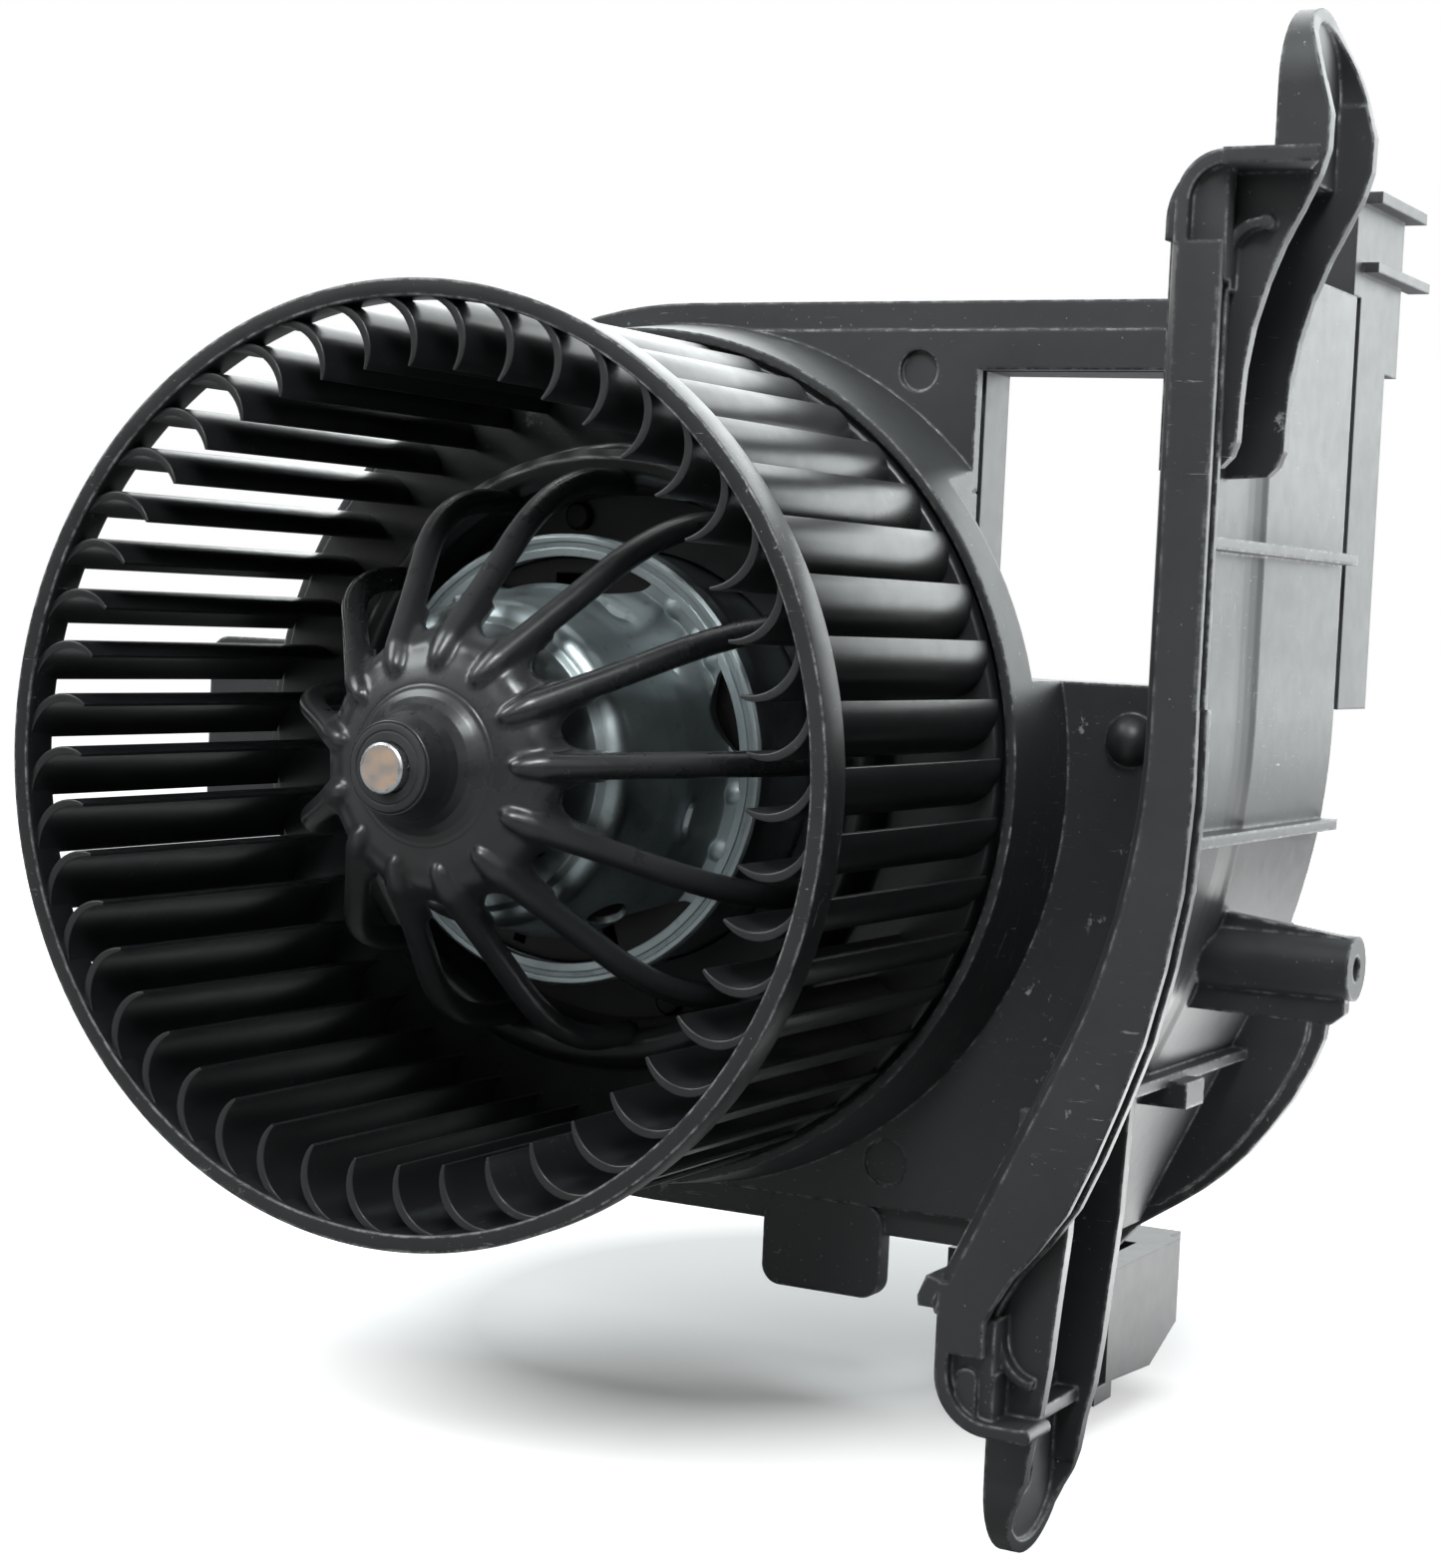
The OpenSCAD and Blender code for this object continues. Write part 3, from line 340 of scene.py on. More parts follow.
def from_points(name, points, faces):
    mesh = bpy.data.meshes.new(name)
    mesh.from_pydata([Vector(p) * MM for p in points], [], faces)
    shell = bmesh.new()
    shell.from_mesh(mesh)
    bmesh.ops.remove_doubles(shell, verts=shell.verts, dist=1e-7)
    bmesh.ops.recalc_face_normals(shell, faces=shell.faces)
    shell.to_mesh(mesh)
    shell.free()
    return new_piece(name, mesh)


def about_axis(angle, r, y):
    """The point at a radius and a Y, turned about the wheel's axis."""
    return r * math.cos(angle), y, r * math.sin(angle)


def lathe(name, profile, steps=160, wave=None):
    """A closed profile of [radius, Y] in mm, turned about the wheel's axis. wave(angle, R, Y) may move a point."""
    rows = []
    for i in range(steps):
        a = 2 * math.pi * i / steps
        row = []
        for r, y in profile:
            if wave:
                r, y = wave(a, r, y)
            row.append(about_axis(a, r, y))
        rows.append(row)
    n = len(profile)
    points = [p for row in rows for p in row]
    faces = []
    for i in range(steps):
        j = (i + 1) % steps
        for k in range(n):
            m = (k + 1) % n
            faces.append((i * n + k, i * n + m, j * n + m, j * n + k))
    return from_points(name, points, faces)


def round_off(profile, radius, steps=4):
    """The same closed profile with each corner cut back to an arc. radius is one number or one for each corner."""
    out = []
    n = len(profile)
    for k in range(n):
        p = Vector(profile[k])
        before, after = Vector(profile[k - 1]) - p, Vector(profile[(k + 1) % n]) - p
        r = radius[k] if isinstance(radius, (list, tuple)) else radius
        turn = before.angle(after)
        if r <= 0 or turn > math.radians(172):
            out.append(tuple(p))
            continue
        reach = min(r / math.tan(turn / 2), before.length * 0.48, after.length * 0.48)
        r = reach * math.tan(turn / 2)
        centre = p + (before.normalized() + after.normalized()).normalized() * (r / math.sin(turn / 2))
        start, end = p + before.normalized() * reach - centre, p + after.normalized() * reach - centre
        for i in range(steps + 1):
            t = i / steps
            out.append(tuple(centre + (start * (1 - t) + end * t).normalized() * r))
    return out


def settle(piece, angle=35):
    """The piece with its modifiers made real, its flats flat and its curves smooth."""
    bpy.context.view_layer.update()
    ready = piece.evaluated_get(bpy.context.evaluated_depsgraph_get())
    mesh = bpy.data.meshes.new_from_object(ready)
    piece.modifiers.clear()
    piece.data = mesh
    mesh.polygons.foreach_set("use_smooth", [True] * len(mesh.polygons))
    mesh.set_sharp_from_angle(angle=math.radians(angle))
    return piece


def joined(name, pieces):
    """One piece from several."""
    whole = bmesh.new()
    for piece in pieces:
        whole.from_mesh(piece.data)
        bpy.data.objects.remove(piece)
    mesh = bpy.data.meshes.new(name)
    whole.to_mesh(mesh)
    whole.free()
    return new_piece(name, mesh)


def dress(piece, finish, body, slot, *nodes):
    """The piece takes its finish, rides on its body and stands for its solids."""
    piece.data.materials.clear()
    piece.data.materials.append(finish)
    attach(piece, body)
    if nodes:
        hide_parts(*nodes)
    return piece


# ---- repeats made by geometry nodes ----

def round_the_axis(name, shape, sizes):
    """A tree that makes one shape and repeats it about the wheel's axis.

    shape(graph, size) gives the geometry of one; size maps the names in sizes to their sockets.
    """
    tree = bpy.data.node_groups.new(name, "GeometryNodeTree")
    tree.interface.new_socket("Geometry", in_out="INPUT", socket_type="NodeSocketGeometry")
    ids = {}
    for label, value in sizes.items():
        whole = isinstance(value, int)
        kind = "NodeSocketInt" if whole else "NodeSocketFloat"
        ids[label] = tree.interface.new_socket(label, in_out="INPUT", socket_type=kind).identifier
    tree.interface.new_socket("Geometry", in_out="OUTPUT", socket_type="NodeSocketGeometry")
    g = Graph(tree)
    g.node("NodeGroupInput")
    size = {s.name: Value(g, s) for s in g.made.outputs if s.name}
    one = shape(g, size)
    points = g.node("GeometryNodeMeshLine", None, Count=size["Count"], Offset=(0, 0, 0))
    index = g.node("GeometryNodeInputIndex")
    turn = (index * (-2 * math.pi) / size["Count"]) - size["First angle"]
    spin = g.node("ShaderNodeCombineXYZ", None, 0.0, turn, 0.0)
    ring = g.node("GeometryNodeInstanceOnPoints", None, Points=points, Instance=one, Rotation=spin)
    real = g.node("GeometryNodeRealizeInstances", None, ring)
    merged = g.node("GeometryNodeMergeByDistance", None, Geometry=real, Distance=1e-6)
    painted = g.node("GeometryNodeSetMaterial", None, merged)
    g.node("NodeGroupOutput", None, painted)
    return tree, ids


def repeat(name, shape, sizes, base=None):
    """A plain mesh piece from a tree of round_the_axis. base is the mesh that the tree starts from."""
    tree, ids = round_the_axis(name, shape, sizes)
    piece = new_piece(name, base or bpy.data.meshes.new(name))
    made = piece.modifiers.new(name, "NODES")
    made.node_group = tree
    for label, value in sizes.items():
        made[ids[label]] = value
    return settle(piece)


def wire(name, points):
    """An open line of points in mm, for a tree to follow."""
    mesh = bpy.data.meshes.new(name)
    mesh.from_pydata([Vector(p) * MM for p in points], [(i, i + 1) for i in range(len(points) - 1)], [])
    return mesh


# ---- sizes and colours that a user would change ----

class WheelSizes(bpy.types.PropertyGroup):
    blades: IntProperty(name="Blades", description="Blades round the wheel", default=47, min=12, max=80)
    blade_thickness: FloatProperty(name="Blade thickness", description="Thickness of a blade at its middle",
                                   default=1.45 * MM, unit="LENGTH")
    blade_bow: FloatProperty(name="Blade bow", description="Radius of a blade's curve", default=7.4 * MM,
                             unit="LENGTH")
    blade_sweep: FloatProperty(name="Blade sweep", description="Angle that a blade's curve turns through",
                               default=math.radians(119), subtype="ANGLE")
    spokes: IntProperty(name="Spokes", description="Spokes of the hub", default=13, min=3, max=24)
    spoke_thickness: FloatProperty(name="Spoke thickness", description="Diameter of a spoke", default=4.4 * MM,
                                   unit="LENGTH")


class FinishColours(bpy.types.PropertyGroup):
    plastic: FloatVectorProperty(name="Plastic", description="Colour of the housing and the wheel", subtype="COLOR",
                                 size=3, default=(0.025, 0.026, 0.0275), min=0, max=1)
    plating: FloatVectorProperty(name="Plating", description="Colour of the motor's plated steel", subtype="COLOR",
                                 size=3, default=(0.53, 0.60, 0.62), min=0, max=1)
    copper: FloatVectorProperty(name="Copper", description="Colour of the windings", subtype="COLOR", size=3,
                                default=(0.72, 0.32, 0.14), min=0, max=1)


class StudioLight(bpy.types.PropertyGroup):
    key: FloatProperty(name="Key light", description="Power of the large light behind, at the right", default=19.0,
                       unit="POWER")
    rear: FloatProperty(name="Rear light", description="Power of the light behind, over the top edge", default=7.0,
                        unit="POWER")
    top: FloatProperty(name="Top light", description="Power of the light above", default=8.0, unit="POWER")
    side: FloatProperty(name="Side light", description="Power of the light above, at the front left", default=11.5,
                        unit="POWER")
    front: FloatProperty(name="Front light", description="Power of the light above, at the front right", default=3.0,
                         unit="POWER")
    high: FloatProperty(name="High light", description="Power of the narrow light on the top right corner",
                        default=0.15, unit="POWER")
    floor: FloatProperty(name="Floor light", description="Strength of the light from the table, at the right",
                         default=9.5)
    room: FloatProperty(name="Room light", description="Strength of the light from all round", default=0.06)


def wheel_sizes():
    return bpy.context.scene.blower_wheel


def colours():
    return bpy.context.scene.blower_finish


finishes = {}


def finish(name):
    """A finish by name, made once."""
    if name not in finishes:
        plastic = tuple(colours().plastic)
        plating = tuple(colours().plating)
        dark = [c * 0.6 for c in plastic]
        worn_edges = (72.45 * MM, 74.75 * MM)
        makers = {
            "wheel plastic": lambda: moulded_plastic(
                "wheel_plastic", dark, roughness=0.34, grain=0.8, scuffs=0.5, soft_edge=0.2 * MM, pale=0.3),
            "ring plastic": lambda: moulded_plastic(
                "ring_plastic", dark, roughness=0.36, scuffs=1.6, soft_edge=0.45 * MM, pale=0.45,
                whitened=worn_edges),
            "hub plastic": lambda: moulded_plastic(
                "hub_plastic", [c * 1.5 for c in dark], roughness=0.30, grain=0.35, scuffs=0.1, soft_edge=0.2 * MM),
            "housing plastic": lambda: moulded_plastic(
                "housing_plastic", plastic, scuffs=1.5, soft_edge=0.8 * MM, pale=0.4),
            "duct plastic": lambda: moulded_plastic("duct_plastic", plastic, roughness=0.45),
            "cover plastic": lambda: moulded_plastic("cover_plastic", plastic, roughness=0.5, grain=1.4, scuffs=0.4),
            "inner plastic": lambda: moulded_plastic(
                "brush_plate_plastic", (0.014, 0.013, 0.012), roughness=0.5, scuffs=0.2),
            "connector plastic": lambda: moulded_plastic(
                "connector_plastic", plastic, roughness=0.48, scuffs=0.3, soft_edge=0.4 * MM),
            "plated": lambda: plated_steel("zinc_plated_sheet", plating),
            "cap sheet": lambda: plated_steel(
                "dull_plated_sheet", [c * 0.74 for c in plating], roughness=0.3, brushed=0.5),
            "steel": lambda: turned_metal("bright_steel", (0.60, 0.61, 0.63)),
            "screw steel": lambda: turned_metal("screw_steel", (0.50, 0.51, 0.54), roughness=0.3, pitch=0.5 * MM),
            "black screws": lambda: turned_metal(
                "blackened_screw_steel", (0.03, 0.03, 0.032), roughness=0.4, pitch=0.5 * MM),
            "damp plastic": lambda: moulded_plastic(
                "mount_ring_plastic", (0.012, 0.012, 0.013), roughness=0.5, scuffs=0.2),
            "shaft": shaft_metal,
            "copper": lambda: turned_metal(
                "commutator_copper", tuple(colours().copper), roughness=0.3, pitch=0.35 * MM),
            "brass": lambda: turned_metal("brass_sheet", (0.78, 0.58, 0.28), roughness=0.28, pitch=0.8 * MM),
            "wire": lambda: wound_wire("enamelled_wire", tuple(colours().copper)),
            "core": stacked_sheet,
            "ferrite": lambda: pressed_powder("ferrite_magnet", (0.055, 0.055, 0.06), roughness=0.5),
            "bronze": lambda: pressed_powder(
                "sintered_bronze", (0.46, 0.30, 0.14), roughness=0.42, metallic=0.9),
            "carbon": lambda: pressed_powder(
                "brush_carbon", (0.03, 0.03, 0.032), roughness=0.45, metallic=0.2),
            "rubber": lambda: rubber("black_rubber", (0.012, 0.012, 0.013)),
            "lead": lambda: rubber("lead_jacket", (0.02, 0.02, 0.021)),
        }
        finishes[name] = makers[name]()
    return finishes[name]


# ---- the wheel ----

class BLOWER_OT_wheel_blades(bpy.types.Operator):
    """Make the curved blades of the wheel"""
    bl_idname = "blower.wheel_blades"
    bl_label = "Wheel blades"

    def execute(self, context):
        s = wheel_sizes()
        low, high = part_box("fan_wheel")
        in_ring, in_disc = 1.0 * MM, 3.3 * MM
        front = low[1] + in_ring
        back = high[1] - in_disc

        def blade(g, size):
            bow = g.node("GeometryNodeCurveArc", {"mode": "RADIUS"}, Resolution=15, Radius=size["Bow"],
                         Start_Angle=size["Start"], Sweep_Angle=size["Sweep"])
            section = g.node("GeometryNodeCurvePrimitiveQuadrilateral", {"mode": "RECTANGLE"},
                             Width=size["Thickness"], Height=size["Length"])
            section = g.node("GeometryNodeFilletCurve", {"mode": "POLY"}, Curve=section, Count=3,
                             Radius=size["Thickness"] * 0.16)
            strip = g.node("GeometryNodeCurveToMesh", None, Curve=bow, Profile_Curve=section, Fill_Caps=True)
            x, y, z = g.split(g.node("GeometryNodeInputPosition"))
            reach = (x * x + y * y) ** 0.5
            along = (g.node("ShaderNodeMath", {"operation": "ARCTAN2"}, y, x) - size["Start"]) / size["Sweep"]
            taper = (along * math.pi).sine().most(0.0) ** 0.7 * 0.66 + 0.34
            grow = ((reach - size["Bow"]) * taper + size["Bow"]) / reach
            thinned = g.node("ShaderNodeCombineXYZ", None, x * grow, y * grow, z)
            strip = g.node("GeometryNodeSetPosition", None, Geometry=strip, Position=thinned)
            place = g.node("ShaderNodeCombineXYZ", None, size["Centre out"], size["Middle"], size["Centre up"])
            return g.node("GeometryNodeTransform", None, Geometry=strip, Translation=place,
                          Rotation=(math.pi / 2, 0, 0))

        blades = repeat("wheel_blades", blade, {
            "Count": s.blades, "First angle": math.radians(-2), "Bow": s.blade_bow,
            "Start": math.radians(-116.4), "Sweep": s.blade_sweep, "Thickness": s.blade_thickness,
            "Length": back - front, "Middle": (front + back) / 2, "Centre out": 64.9 * MM, "Centre up": 6.65 * MM})
        dress(blades, finish("wheel plastic"), "rotor", "black_plastic", "fan_wheel")
        return {"FINISHED"}


class BLOWER_OT_wheel_rings(bpy.types.Operator):
    """Make the front ring and the back disc of the wheel"""
    bl_idname = "blower.wheel_rings"
    bl_label = "Wheel rings"

    def execute(self, context):
        inner_r, outer_r, front_y, ring_back_y = 72.2, 75, -0.7, 5.7
        front = round_off([(inner_r, front_y), (outer_r, front_y), (outer_r, ring_back_y), (inner_r, ring_back_y)],
                          [0.35, 0.22, 0.5, 0.4], 3)
        ring = lathe("wheel_front_ring", front, 240)
        dress(settle(ring, 20), finish("ring plastic"), "rotor", "black_plastic", "fan_wheel")
        hole_r, lip_y, disc_y, back_y = 47.5, 60.2, 68.0, 71.6
        disc = round_off([(hole_r, back_y), (hole_r, 62.0), (49.3, lip_y), (51.7, lip_y), (53.4, 62.0),
                          (53.4, disc_y), (inner_r, disc_y), (inner_r, back_y)],
                         [0.5, 1.2, 1.6, 1.6, 1.2, 1.4, 0.6, 0.6])
        back = lathe("wheel_back_disc", disc, 200)
        dress(settle(back), finish("wheel plastic"), "rotor", "black_plastic", "fan_wheel", "wheel_hub")
        return {"FINISHED"}


class BLOWER_OT_wheel_hub(bpy.types.Operator):
    """Make the hub dome with its spokes flowing out of it"""
    bl_idname = "blower.wheel_hub"
    bl_label = "Wheel hub"

    def execute(self, context):
        s = wheel_sizes()
        first_angle = math.radians(3.2)
        path = wire("spoke path", [(15.8, 8.9, 0), (47.5, 40.1, 0), (47.5, 63.5, 0)])

        def spoke(g, size):
            curve = g.node("GeometryNodeMeshToCurve", None, g.node("NodeGroupInput"))
            bent = g.node("GeometryNodeFilletCurve", {"mode": "POLY"}, Curve=curve, Count=10, Radius=size["Bend"])
            even = g.node("GeometryNodeResampleCurve", {"mode": "LENGTH"}, Curve=bent, Length=0.8 * MM)
            gone = g.node("GeometryNodeSplineParameter", out="Length")
            blunt = g.ramp(gone, -0.1 * MM, 5.4 * MM) ** 0.42
            swell = g.ramp(gone, 18 * MM, 5 * MM) * 0.14 + 1
            bar = g.node("GeometryNodeCurvePrimitiveCircle", {"mode": "RADIUS"}, Resolution=18,
                         Radius=size["Thickness"] * 0.5)
            return g.node("GeometryNodeCurveToMesh", None, Curve=even, Profile_Curve=bar, Scale=blunt * swell,
                          Fill_Caps=True)

        spokes = repeat("hub_spokes", spoke, {
            "Count": s.spokes, "First angle": first_angle, "Bend": 36 * MM, "Thickness": s.spoke_thickness}, path)
        whole_r, rim_r, finger_r = 18, 26, 26.4
        slot_r, slot_bottom_r, slot_end_r = 3.5, 21.8, 25
        rim_slope = 1.25

        def slots(a, r, y):
            """The dome ends in a round-bottomed slot between each two spokes."""
            if r <= whole_r:
                return r, y
            pitch = 2 * math.pi / s.spokes
            off = slot_end_r * abs((a - first_angle) % pitch - pitch / 2)
            edge = finger_r
            if off < slot_r:
                edge = slot_bottom_r + slot_r - math.sqrt(slot_r ** 2 - off ** 2)
            share = (r - whole_r) / (rim_r - whole_r)
            return whole_r + share * (edge - whole_r), y - rim_slope * (rim_r - edge) * share

        front = [(12.3, 8.75), (14, 9.1), (16, 9.75), (18, 10.8), (20, 12.35), (22, 14.4), (24, 16.9), (26, 19.9)]
        back = [(25.2, 21.4), (22, 17.2), (18, 13.4), (12.3, 11.4)]
        dome = lathe("hub_dome", front + back, 420, slots)
        neck = [(7.02, -1.0), (7.45, -0.75), (7.6, 0.2), (7.8, 2.0), (8.15, 3.6), (8.8, 5.2), (9.8, 6.7), (11.0, 7.9),
                (12.1, 8.62), (12.75, 8.72), (12.95, 9.0), (12.9, 11.2), (9.4, 12.6), (9, 21), (4.02, 21), (4.02, 5),
                (7.02, 5)]
        spigot = settle(lathe("hub_spigot", round_off(neck, 0.8, 3), 160), 50)
        hub = joined("wheel_hub", [dome, spokes])
        blend = hub.modifiers.new("one moulding", "REMESH")
        blend.mode = "VOXEL"
        blend.voxel_size = 0.5 * MM
        blend.use_smooth_shade = True
        even = hub.modifiers.new("flowing corners", "SMOOTH")
        even.factor = 0.6
        even.iterations = 3
        settle(hub, 180)
        dress(joined("wheel_hub", [hub, spigot]), finish("hub plastic"), "rotor", "black_plastic", "wheel_hub")
        return {"FINISHED"}


class BLOWER_OT_clamp_and_shaft(bpy.types.Operator):
    """Make the ring that grips the shaft in the hub"""
    bl_idname = "blower.clamp_and_shaft"
    bl_label = "Clamp ring"

    def execute(self, context):
        profile = [(4.02, -1.3), (5.5, -1.3), (5.7, -1.1), (5.9, -1.3), (7, -1.2), (7, 4.9), (4.02, 4.9)]
        ring = lathe("hub_clamp", round_off(profile, [0.35, 0.1, 0.1, 0.1, 0.4, 0.2, 0.2]), 96)
        dress(settle(ring), finish("rubber"), "rotor", "rubber", "hub_clamp_ring")
        return {"FINISHED"}


class BLOWER_OT_motor_cap(bpy.types.Operator):
    """Press the motor's front cap: a flared skirt with dents and vents, and windows in its flange"""
    bl_idname = "blower.motor_cap"
    bl_label = "Motor cap"

    # Angles are in degrees and lengths in mm. A window has its two ends and its inner radius at the middle,
    # and a dent its angle and the Y that it reaches down to. Stakes are the small blows that hold the rim.
    windows = ((5, 29, 30.9), (62, 118, 28.0), (150, 210, 29.0), (240, 320, 28.0))
    window_r = 34.5
    window_ys = (45.6, 56)
    dents = ((63, 44.5), (-15, 45.5), (38, 46.0), (205, 45.0))
    stakes = (-6, -23, 33, 40, 52, 130, 141, 222)
    steps = 480

    def round_cutters(self, tools, angles, r, y, radius, lie):
        """Cylinders at the same radius and Y, which lie along the local axis that the turn lie gives."""
        for angle in angles:
            turn = Matrix.Rotation(math.radians(-angle), 4, "Y") @ Matrix.Translation(Vector((r, y, 0)) * MM)
            bmesh.ops.create_cone(tools, cap_ends=True, segments=40, radius1=radius * MM, radius2=radius * MM,
                                  depth=10 * MM, matrix=turn @ Matrix.Rotation(math.radians(90), 4, lie))

    def window_cutter(self, tools, low, high, inner):
        """A crescent prism, with more points near its two ends."""
        shares = [(1 - math.cos(math.pi * i / 48)) / 2 for i in range(49)]
        depth = self.window_r - inner
        edge = [(self.window_r - depth * math.sin(math.pi * s) ** 0.5, low + (high - low) * s) for s in shares]
        edge += [(self.window_r, angle) for _, angle in edge[-2:0:-1]]
        ends = [[tools.verts.new(Vector(about_axis(math.radians(a), r, y)) * MM) for r, a in edge]
                for y in self.window_ys]
        for end in ends:
            tools.faces.new(end)
        for i in range(len(edge)):
            tools.faces.new((ends[0][i - 1], ends[0][i], ends[1][i], ends[1][i - 1]))

    def cutters(self):
        tools = bmesh.new()
        self.round_cutters(tools, (-58, 122), r=26, y=42, radius=3.4, lie="Y")
        self.round_cutters(tools, (45, 135, 225, 315), r=17, y=25, radius=2.2, lie="X")
        for low, high, inner in self.windows:
            self.window_cutter(tools, low, high, inner)
        bmesh.ops.recalc_face_normals(tools, faces=tools.faces)
        mesh = bpy.data.meshes.new("cap_cutters")
        tools.to_mesh(mesh)
        tools.free()
        return new_piece("cap_cutters", mesh)

    def formed(self, angle, r, y):
        """A point of the turned skin, moved by the dents and the stakes near it."""
        def aside(where):
            return math.radians(abs((angle - where + 180) % 360 - 180)) * r

        dent_top, dent_width, dent_depth, dent_fade = 30, 2.6, 1.7, 3.2
        for where, low in self.dents:
            side = aside(where) / dent_width
            if dent_top < y < low and side < 2.5:
                r -= dent_depth * math.exp(-side ** 2) * max(0, 1 - (low - y) / dent_fade) ** 1.5
        stake_r, stake_depth, flange_r = 33.4, 0.9, 31.9
        if r > flange_r:
            y -= sum(stake_depth * math.exp(-(aside(w) ** 2 + (r - stake_r) ** 2) / 1.2) for w in self.stakes)
        return about_axis(math.radians(angle), r, y)

    def execute(self, context):
        outline = [(6.4, 24.7), (22.4, 24.7), (22.8, 25.2), (22.9, 25.8), (24.0, 26.0), (25.0, 26.7), (25.5, 27.9),
                   (26.0, 33), (26.6, 38), (27.6, 43), (29.0, 47), (30.4, 49.8), (31.3, 51.0), (32.0, 51.5),
                   (36.8, 51.5)]
        cell = 0.7
        skin = []
        for (r0, y0), (r1, y1) in zip(outline, outline[1:]):
            n = max(1, round(math.dist((r0, y0), (r1, y1)) / cell))
            skin += [(r0 + (r1 - r0) * i / n, y0 + (y1 - y0) * i / n) for i in range(n)]
        skin.append(outline[-1])
        points = [self.formed(360 * i / self.steps, r, y) for i in range(self.steps) for r, y in skin]
        faces = []
        n = len(skin)
        for i in range(self.steps):
            j = (i + 1) % self.steps
            faces += [(i * n + k, i * n + k + 1, j * n + k + 1, j * n + k) for k in range(n - 1)]
        cap = from_points("motor_cap", points, faces)
        sheet = cap.modifiers.new("sheet", "SOLIDIFY")
        sheet.thickness = 1.2 * MM
        sheet.offset = -1
        cut = cap.modifiers.new("vents", "BOOLEAN")
        cut.operation = "DIFFERENCE"
        cut.solver = "EXACT"
        cut.object = tools = self.cutters()
        settle(cap, 40)
        bpy.data.objects.remove(tools)
        seat = lathe("cap_seat", [(8.75, 26.0), (10.1, 26.0), (10.1, 32.8), (8.75, 32.8)], 96)
        cap = settle(joined("motor_cap", [cap, seat]), 40)
        dress(cap, finish("cap sheet"), "housing", "zinc_steel", "motor_front_cap")
        return {"FINISHED"}


class BLOWER_OT_carried_solids(bpy.types.Operator):
    """Give each solid that stays its finish"""
    bl_idname = "blower.carried_solids"
    bl_label = "Finishes of the solids"

    wears = {
        "motor_shaft": "shaft", "shaft_spacer": "steel", "commutator": "copper", "armature_core": "core",
        "armature_windings": "wire", "motor_case": "plated",
        "field_magnets": "ferrite", "magnet_spring": "steel", "front_bearing": "bronze",
        "rear_bearing": "bronze", "bearing_retainers": "steel", "brush_plate": "inner plastic",
        "brush_holders": "brass", "carbon_brushes": "carbon", "brush_springs": "steel",
        "suppression_chokes": "wire", "power_leads": "lead", "lead_grommet": "rubber",
        "damper_rings": "rubber", "motor_mount_ring": "damp plastic", "mount_screws": "black screws",
        "fan_housing": "housing plastic", "outlet_duct": "duct plastic", "motor_cover": "cover plastic",
        "cover_screws": "screw steel", "connector_housing": "connector plastic",
        "connector_terminals": "brass",
    }

    def execute(self, context):
        for node, name in self.wears.items():
            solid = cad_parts[node]
            for slot in solid.material_slots:
                slot.material = finish(name)
        return {"FINISHED"}


# ---- the studio ----

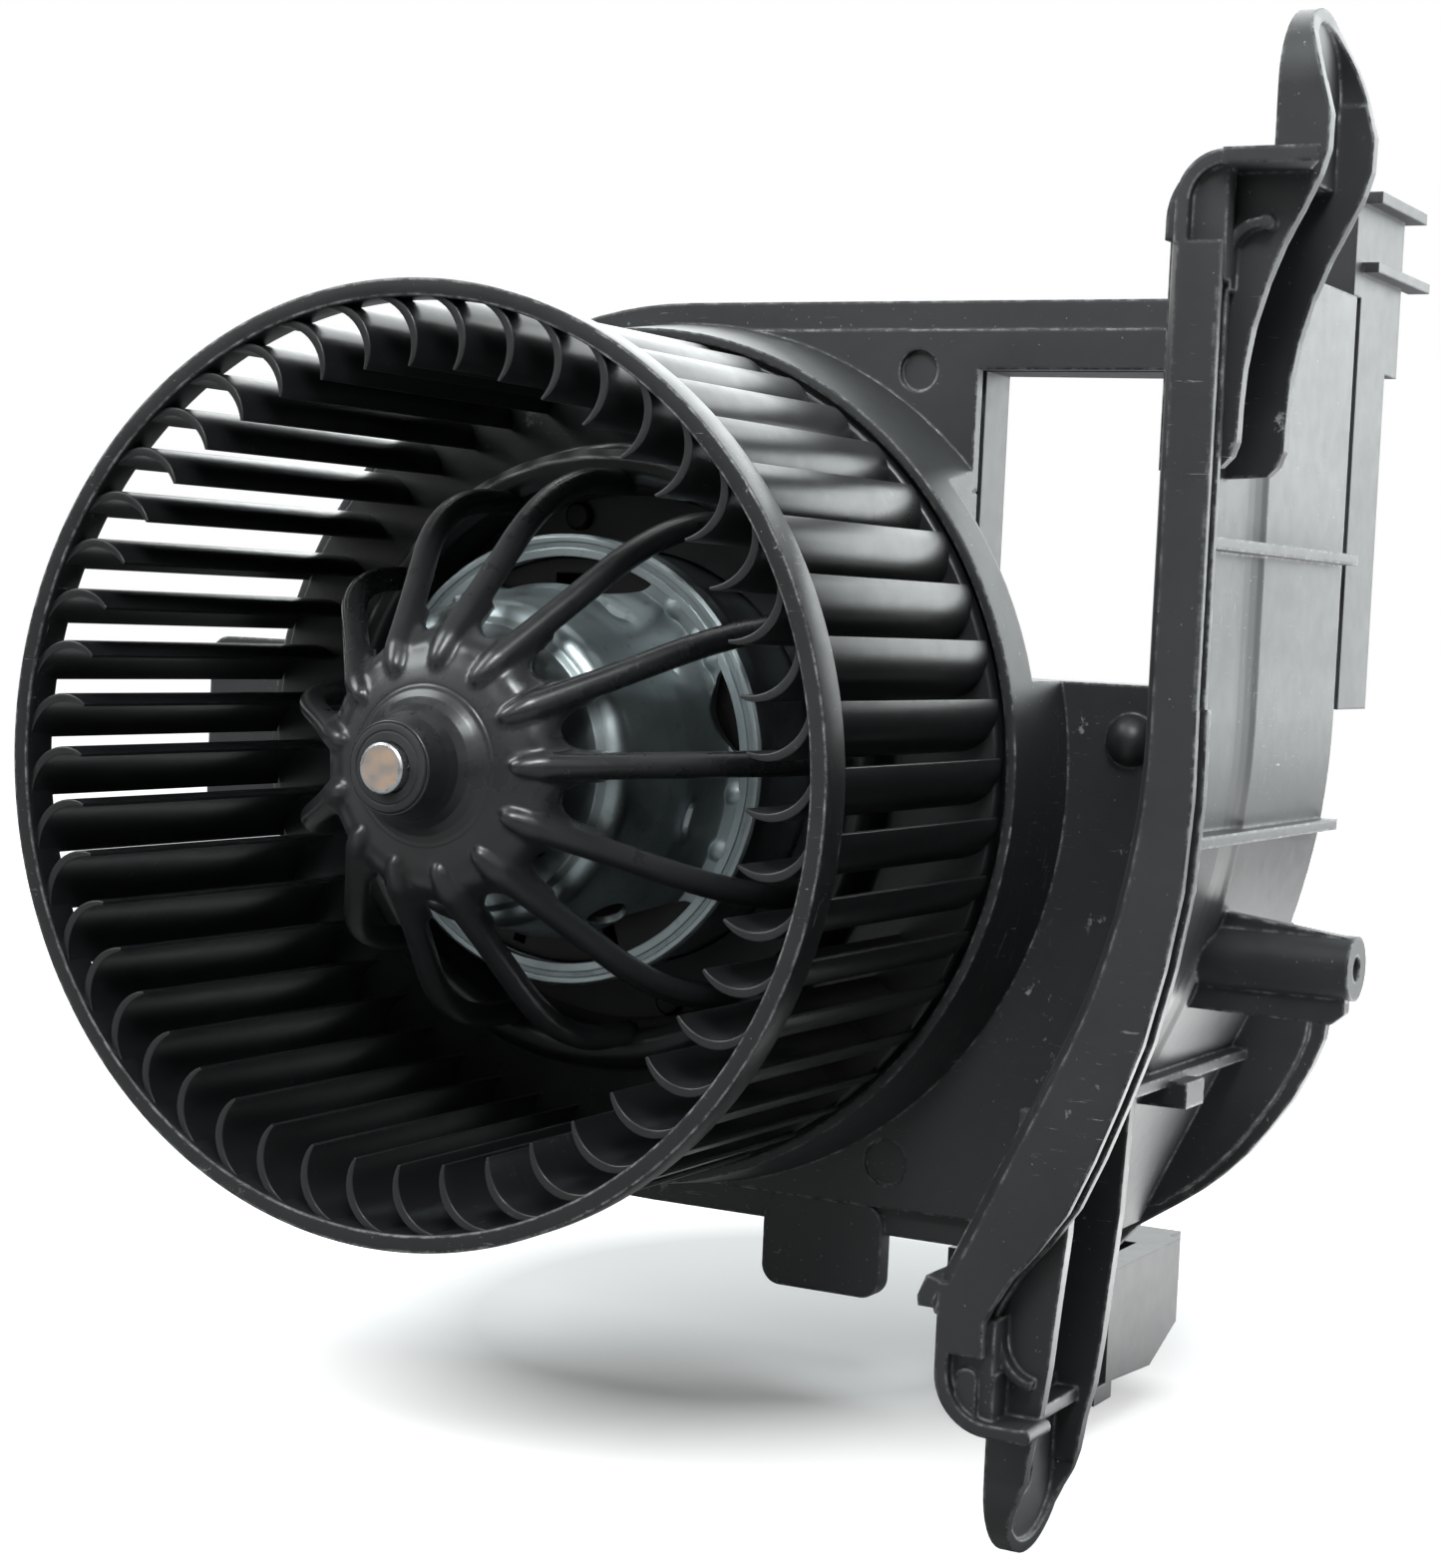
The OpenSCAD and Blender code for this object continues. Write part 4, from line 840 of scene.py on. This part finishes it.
class BLOWER_OT_studio(bpy.types.Operator):
    """Make the floor, the lights and the camera"""
    bl_idname = "blower.studio"
    bl_label = "Studio"

    def soft_light(self, name, place, aim, width, height, power, spared=None, spread=180):
        lamp = bpy.data.lights.new(name, "AREA")
        lamp.shape = "RECTANGLE"
        lamp.size, lamp.size_y = width, height
        lamp.energy = power
        lamp.spread = math.radians(spread)
        lamp.color = (0.94, 1.0, 0.995)
        holder = bpy.data.objects.new(name, lamp)
        bpy.context.scene.collection.objects.link(holder)
        holder.location = place
        holder.rotation_euler = (Vector(aim) - Vector(place)).to_track_quat("-Z", "Y").to_euler()
        holder.visible_camera = False
        if spared:
            holder.light_linking.receiver_collection = spared

    def execute(self, context):
        scene = context.scene
        light = scene.blower_light
        scene.view_settings.view_transform = "Standard"
        self.camera(scene)
        floor = self.floor(light)
        self.room(scene, light)

        spared = bpy.data.collections.new("not lit from behind")
        spared.objects.link(floor)
        spared.collection_objects[0].light_linking.link_state = "EXCLUDE"
        self.soft_light("key_light", (0.85, 0.85, 0.30), (0.05, 0.05, 0.02), 1.5, 1.1, light.key, spared)
        self.soft_light("rear_light", (-0.25, 1.1, 0.55), (0, 0.04, 0), 1.0, 0.6, light.rear, spared)
        self.soft_light("top_light", (0.0, 0.5, 1.0), (0, 0.04, 0), 1.0, 0.8, light.top)
        self.soft_light("front_light", (0.34, -0.47, 0.64), (0.03, 0.02, 0.08), 0.35, 0.3, light.front)
        self.soft_light("high_light", (0.30, -0.47, 0.60), (0.09, 0.04, 0.12), 0.25, 0.25, light.high, spared, 24)
        self.soft_light("side_light", (-0.80, -0.48, 0.85), (0, 0.02, 0), 0.7, 0.7, light.side)
        return {"FINISHED"}

    def camera(self, scene):
        """The camera, from its turn, its place and its focal length, which is 1.9 times the frame's height."""
        yaw, pitch, roll = math.radians(27.974), math.radians(3.359), math.radians(2.607)
        back = Vector((math.sin(yaw) * math.cos(pitch), -math.cos(yaw) * math.cos(pitch), math.sin(pitch)))
        right = (-back).cross(Vector((0, 0, 1))).normalized()
        up = right.cross(-back)
        tilted_right = right * math.cos(roll) + up * math.sin(roll)
        tilted_up = -right * math.sin(roll) + up * math.cos(roll)
        lens = bpy.data.cameras.new("camera")
        lens.sensor_fit = "AUTO"
        lens.sensor_width = 36
        lens.lens = 2987.92 * lens.sensor_width / 1572
        camera = bpy.data.objects.new("camera", lens)
        scene.collection.objects.link(camera)
        turn = Matrix((tilted_right, tilted_up, back)).transposed().to_4x4()
        camera.matrix_world = Matrix.Translation((0.25998, -0.38124, 0.02671)) @ turn
        scene.camera = camera

    def floor(self, light):
        """White paper with painted shade: the glow that the camera sees is dimmed in an ellipse under the part, round
        its shadow, with a lit patch that only the part sees.
        """
        floor_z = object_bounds()[0][2] - 0.2 * MM
        half = 4
        corners = [(-half, -half, floor_z), (half, -half, floor_z), (half, half, floor_z), (-half, half, floor_z)]
        mesh = bpy.data.meshes.new("studio_floor")
        mesh.from_pydata(corners, [], [(0, 1, 2, 3)])
        floor = new_piece("studio_floor", mesh)
        f = Finish("studio_floor_paper")
        x, y, z = f.split(f.place)
        # Painted shade: near the part the paper's glow falls from 1.0 to 0.16 in an ellipse, darkening the floor
        # round its shadow.
        off, back = (x - 0.005) / 0.085, (y - 0.135) / 0.11
        outside_painted_shade = f.ramp((off * off + back * back) ** 0.5, 0.65, 1.2)
        white = rgb((1, 1, 1))
        aside, behind = x - 0.30, y - 0.20
        patch = f.ramp((aside * aside + behind * behind) ** 0.5, 0.23, 0.07)
        table = f.node("ShaderNodeEmission", None, white, patch * light.floor)
        grey = f.node("ShaderNodeBsdfDiffuse", None, Color=rgb((0.5, 0.5, 0.5)))
        sheet = f.node("ShaderNodeAddShader", None, grey, table)
        glow = f.node("ShaderNodeEmission", None, white, outside_painted_shade * 0.84 + 0.16)
        soft = f.node("ShaderNodeBsdfDiffuse", None, Color=rgb((0.70, 0.70, 0.70)))
        lit = f.node("ShaderNodeAddShader", None, soft, glow)
        seen = f.node("ShaderNodeLightPath", out="Is Camera Ray")
        f.node("ShaderNodeOutputMaterial", None, f.node("ShaderNodeMixShader", None, seen, sheet, lit))
        floor.data.materials.append(f.material)
        floor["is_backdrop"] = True
        return floor

    def room(self, scene, light):
        """A white surround: full where it is seen or mirrored at the back, dim as a source of light."""
        world = bpy.data.worlds.new("studio_room")
        scene.world = world
        world.use_nodes = True
        g = Graph(world.node_tree)
        g.node("ShaderNodeLightPath")
        ways = {s.name: Value(g, s) for s in g.made.outputs}
        x, y, z = g.split(g.node("ShaderNodeTexCoord", out="Generated"))
        behind = g.ramp(y * 0.7 - x * 0.2 + z * 0.6, -0.5, 0.38)
        sky = (behind * 0.9 + 0.1).most(g.ramp(z, -0.1, 0.32))
        mirrored = (ways["Is Glossy Ray"] * sky).most(ways["Is Transmission Ray"])
        dim = g.node("ShaderNodeBackground", None, rgb((1, 1, 1)), light.room)
        full = g.node("ShaderNodeBackground", None, rgb((1, 1, 1)), 1.0)
        both = g.node("ShaderNodeMixShader", None, ways["Is Camera Ray"].most(mirrored), dim, full)
        g.node("ShaderNodeOutputWorld", None, both)


class BLOWER_PT_pieces(bpy.types.Panel):
    """Lists the sizes, the colours and the pieces"""
    bl_idname = "BLOWER_PT_pieces"
    bl_label = "Blower motor wheel"
    bl_space_type = "VIEW_3D"
    bl_region_type = "UI"
    bl_category = "Blower"

    def draw(self, context):
        for group in (context.scene.blower_wheel, context.scene.blower_finish, context.scene.blower_light):
            box = self.layout.box()
            for key in group.__annotations__:
                box.prop(group, key)
        for piece in PIECES:
            self.layout.operator(piece.bl_idname)


GROUPS = {"blower_wheel": WheelSizes, "blower_finish": FinishColours, "blower_light": StudioLight}
PIECES = (BLOWER_OT_studio, BLOWER_OT_wheel_blades, BLOWER_OT_wheel_rings, BLOWER_OT_wheel_hub,
          BLOWER_OT_clamp_and_shaft, BLOWER_OT_motor_cap, BLOWER_OT_carried_solids)
CLASSES = (*GROUPS.values(), *PIECES, BLOWER_PT_pieces)


def register():
    for made in CLASSES:
        bpy.utils.register_class(made)
    for name, group in GROUPS.items():
        setattr(bpy.types.Scene, name, PointerProperty(type=group))


def unregister():
    for name in GROUPS:
        delattr(bpy.types.Scene, name)
    for made in reversed(CLASSES):
        bpy.utils.unregister_class(made)


def main():
    register()
    for piece in PIECES:
        family, name = piece.bl_idname.split(".")
        getattr(getattr(bpy.ops, family), name)()


if __name__ == "__main__":
    main()
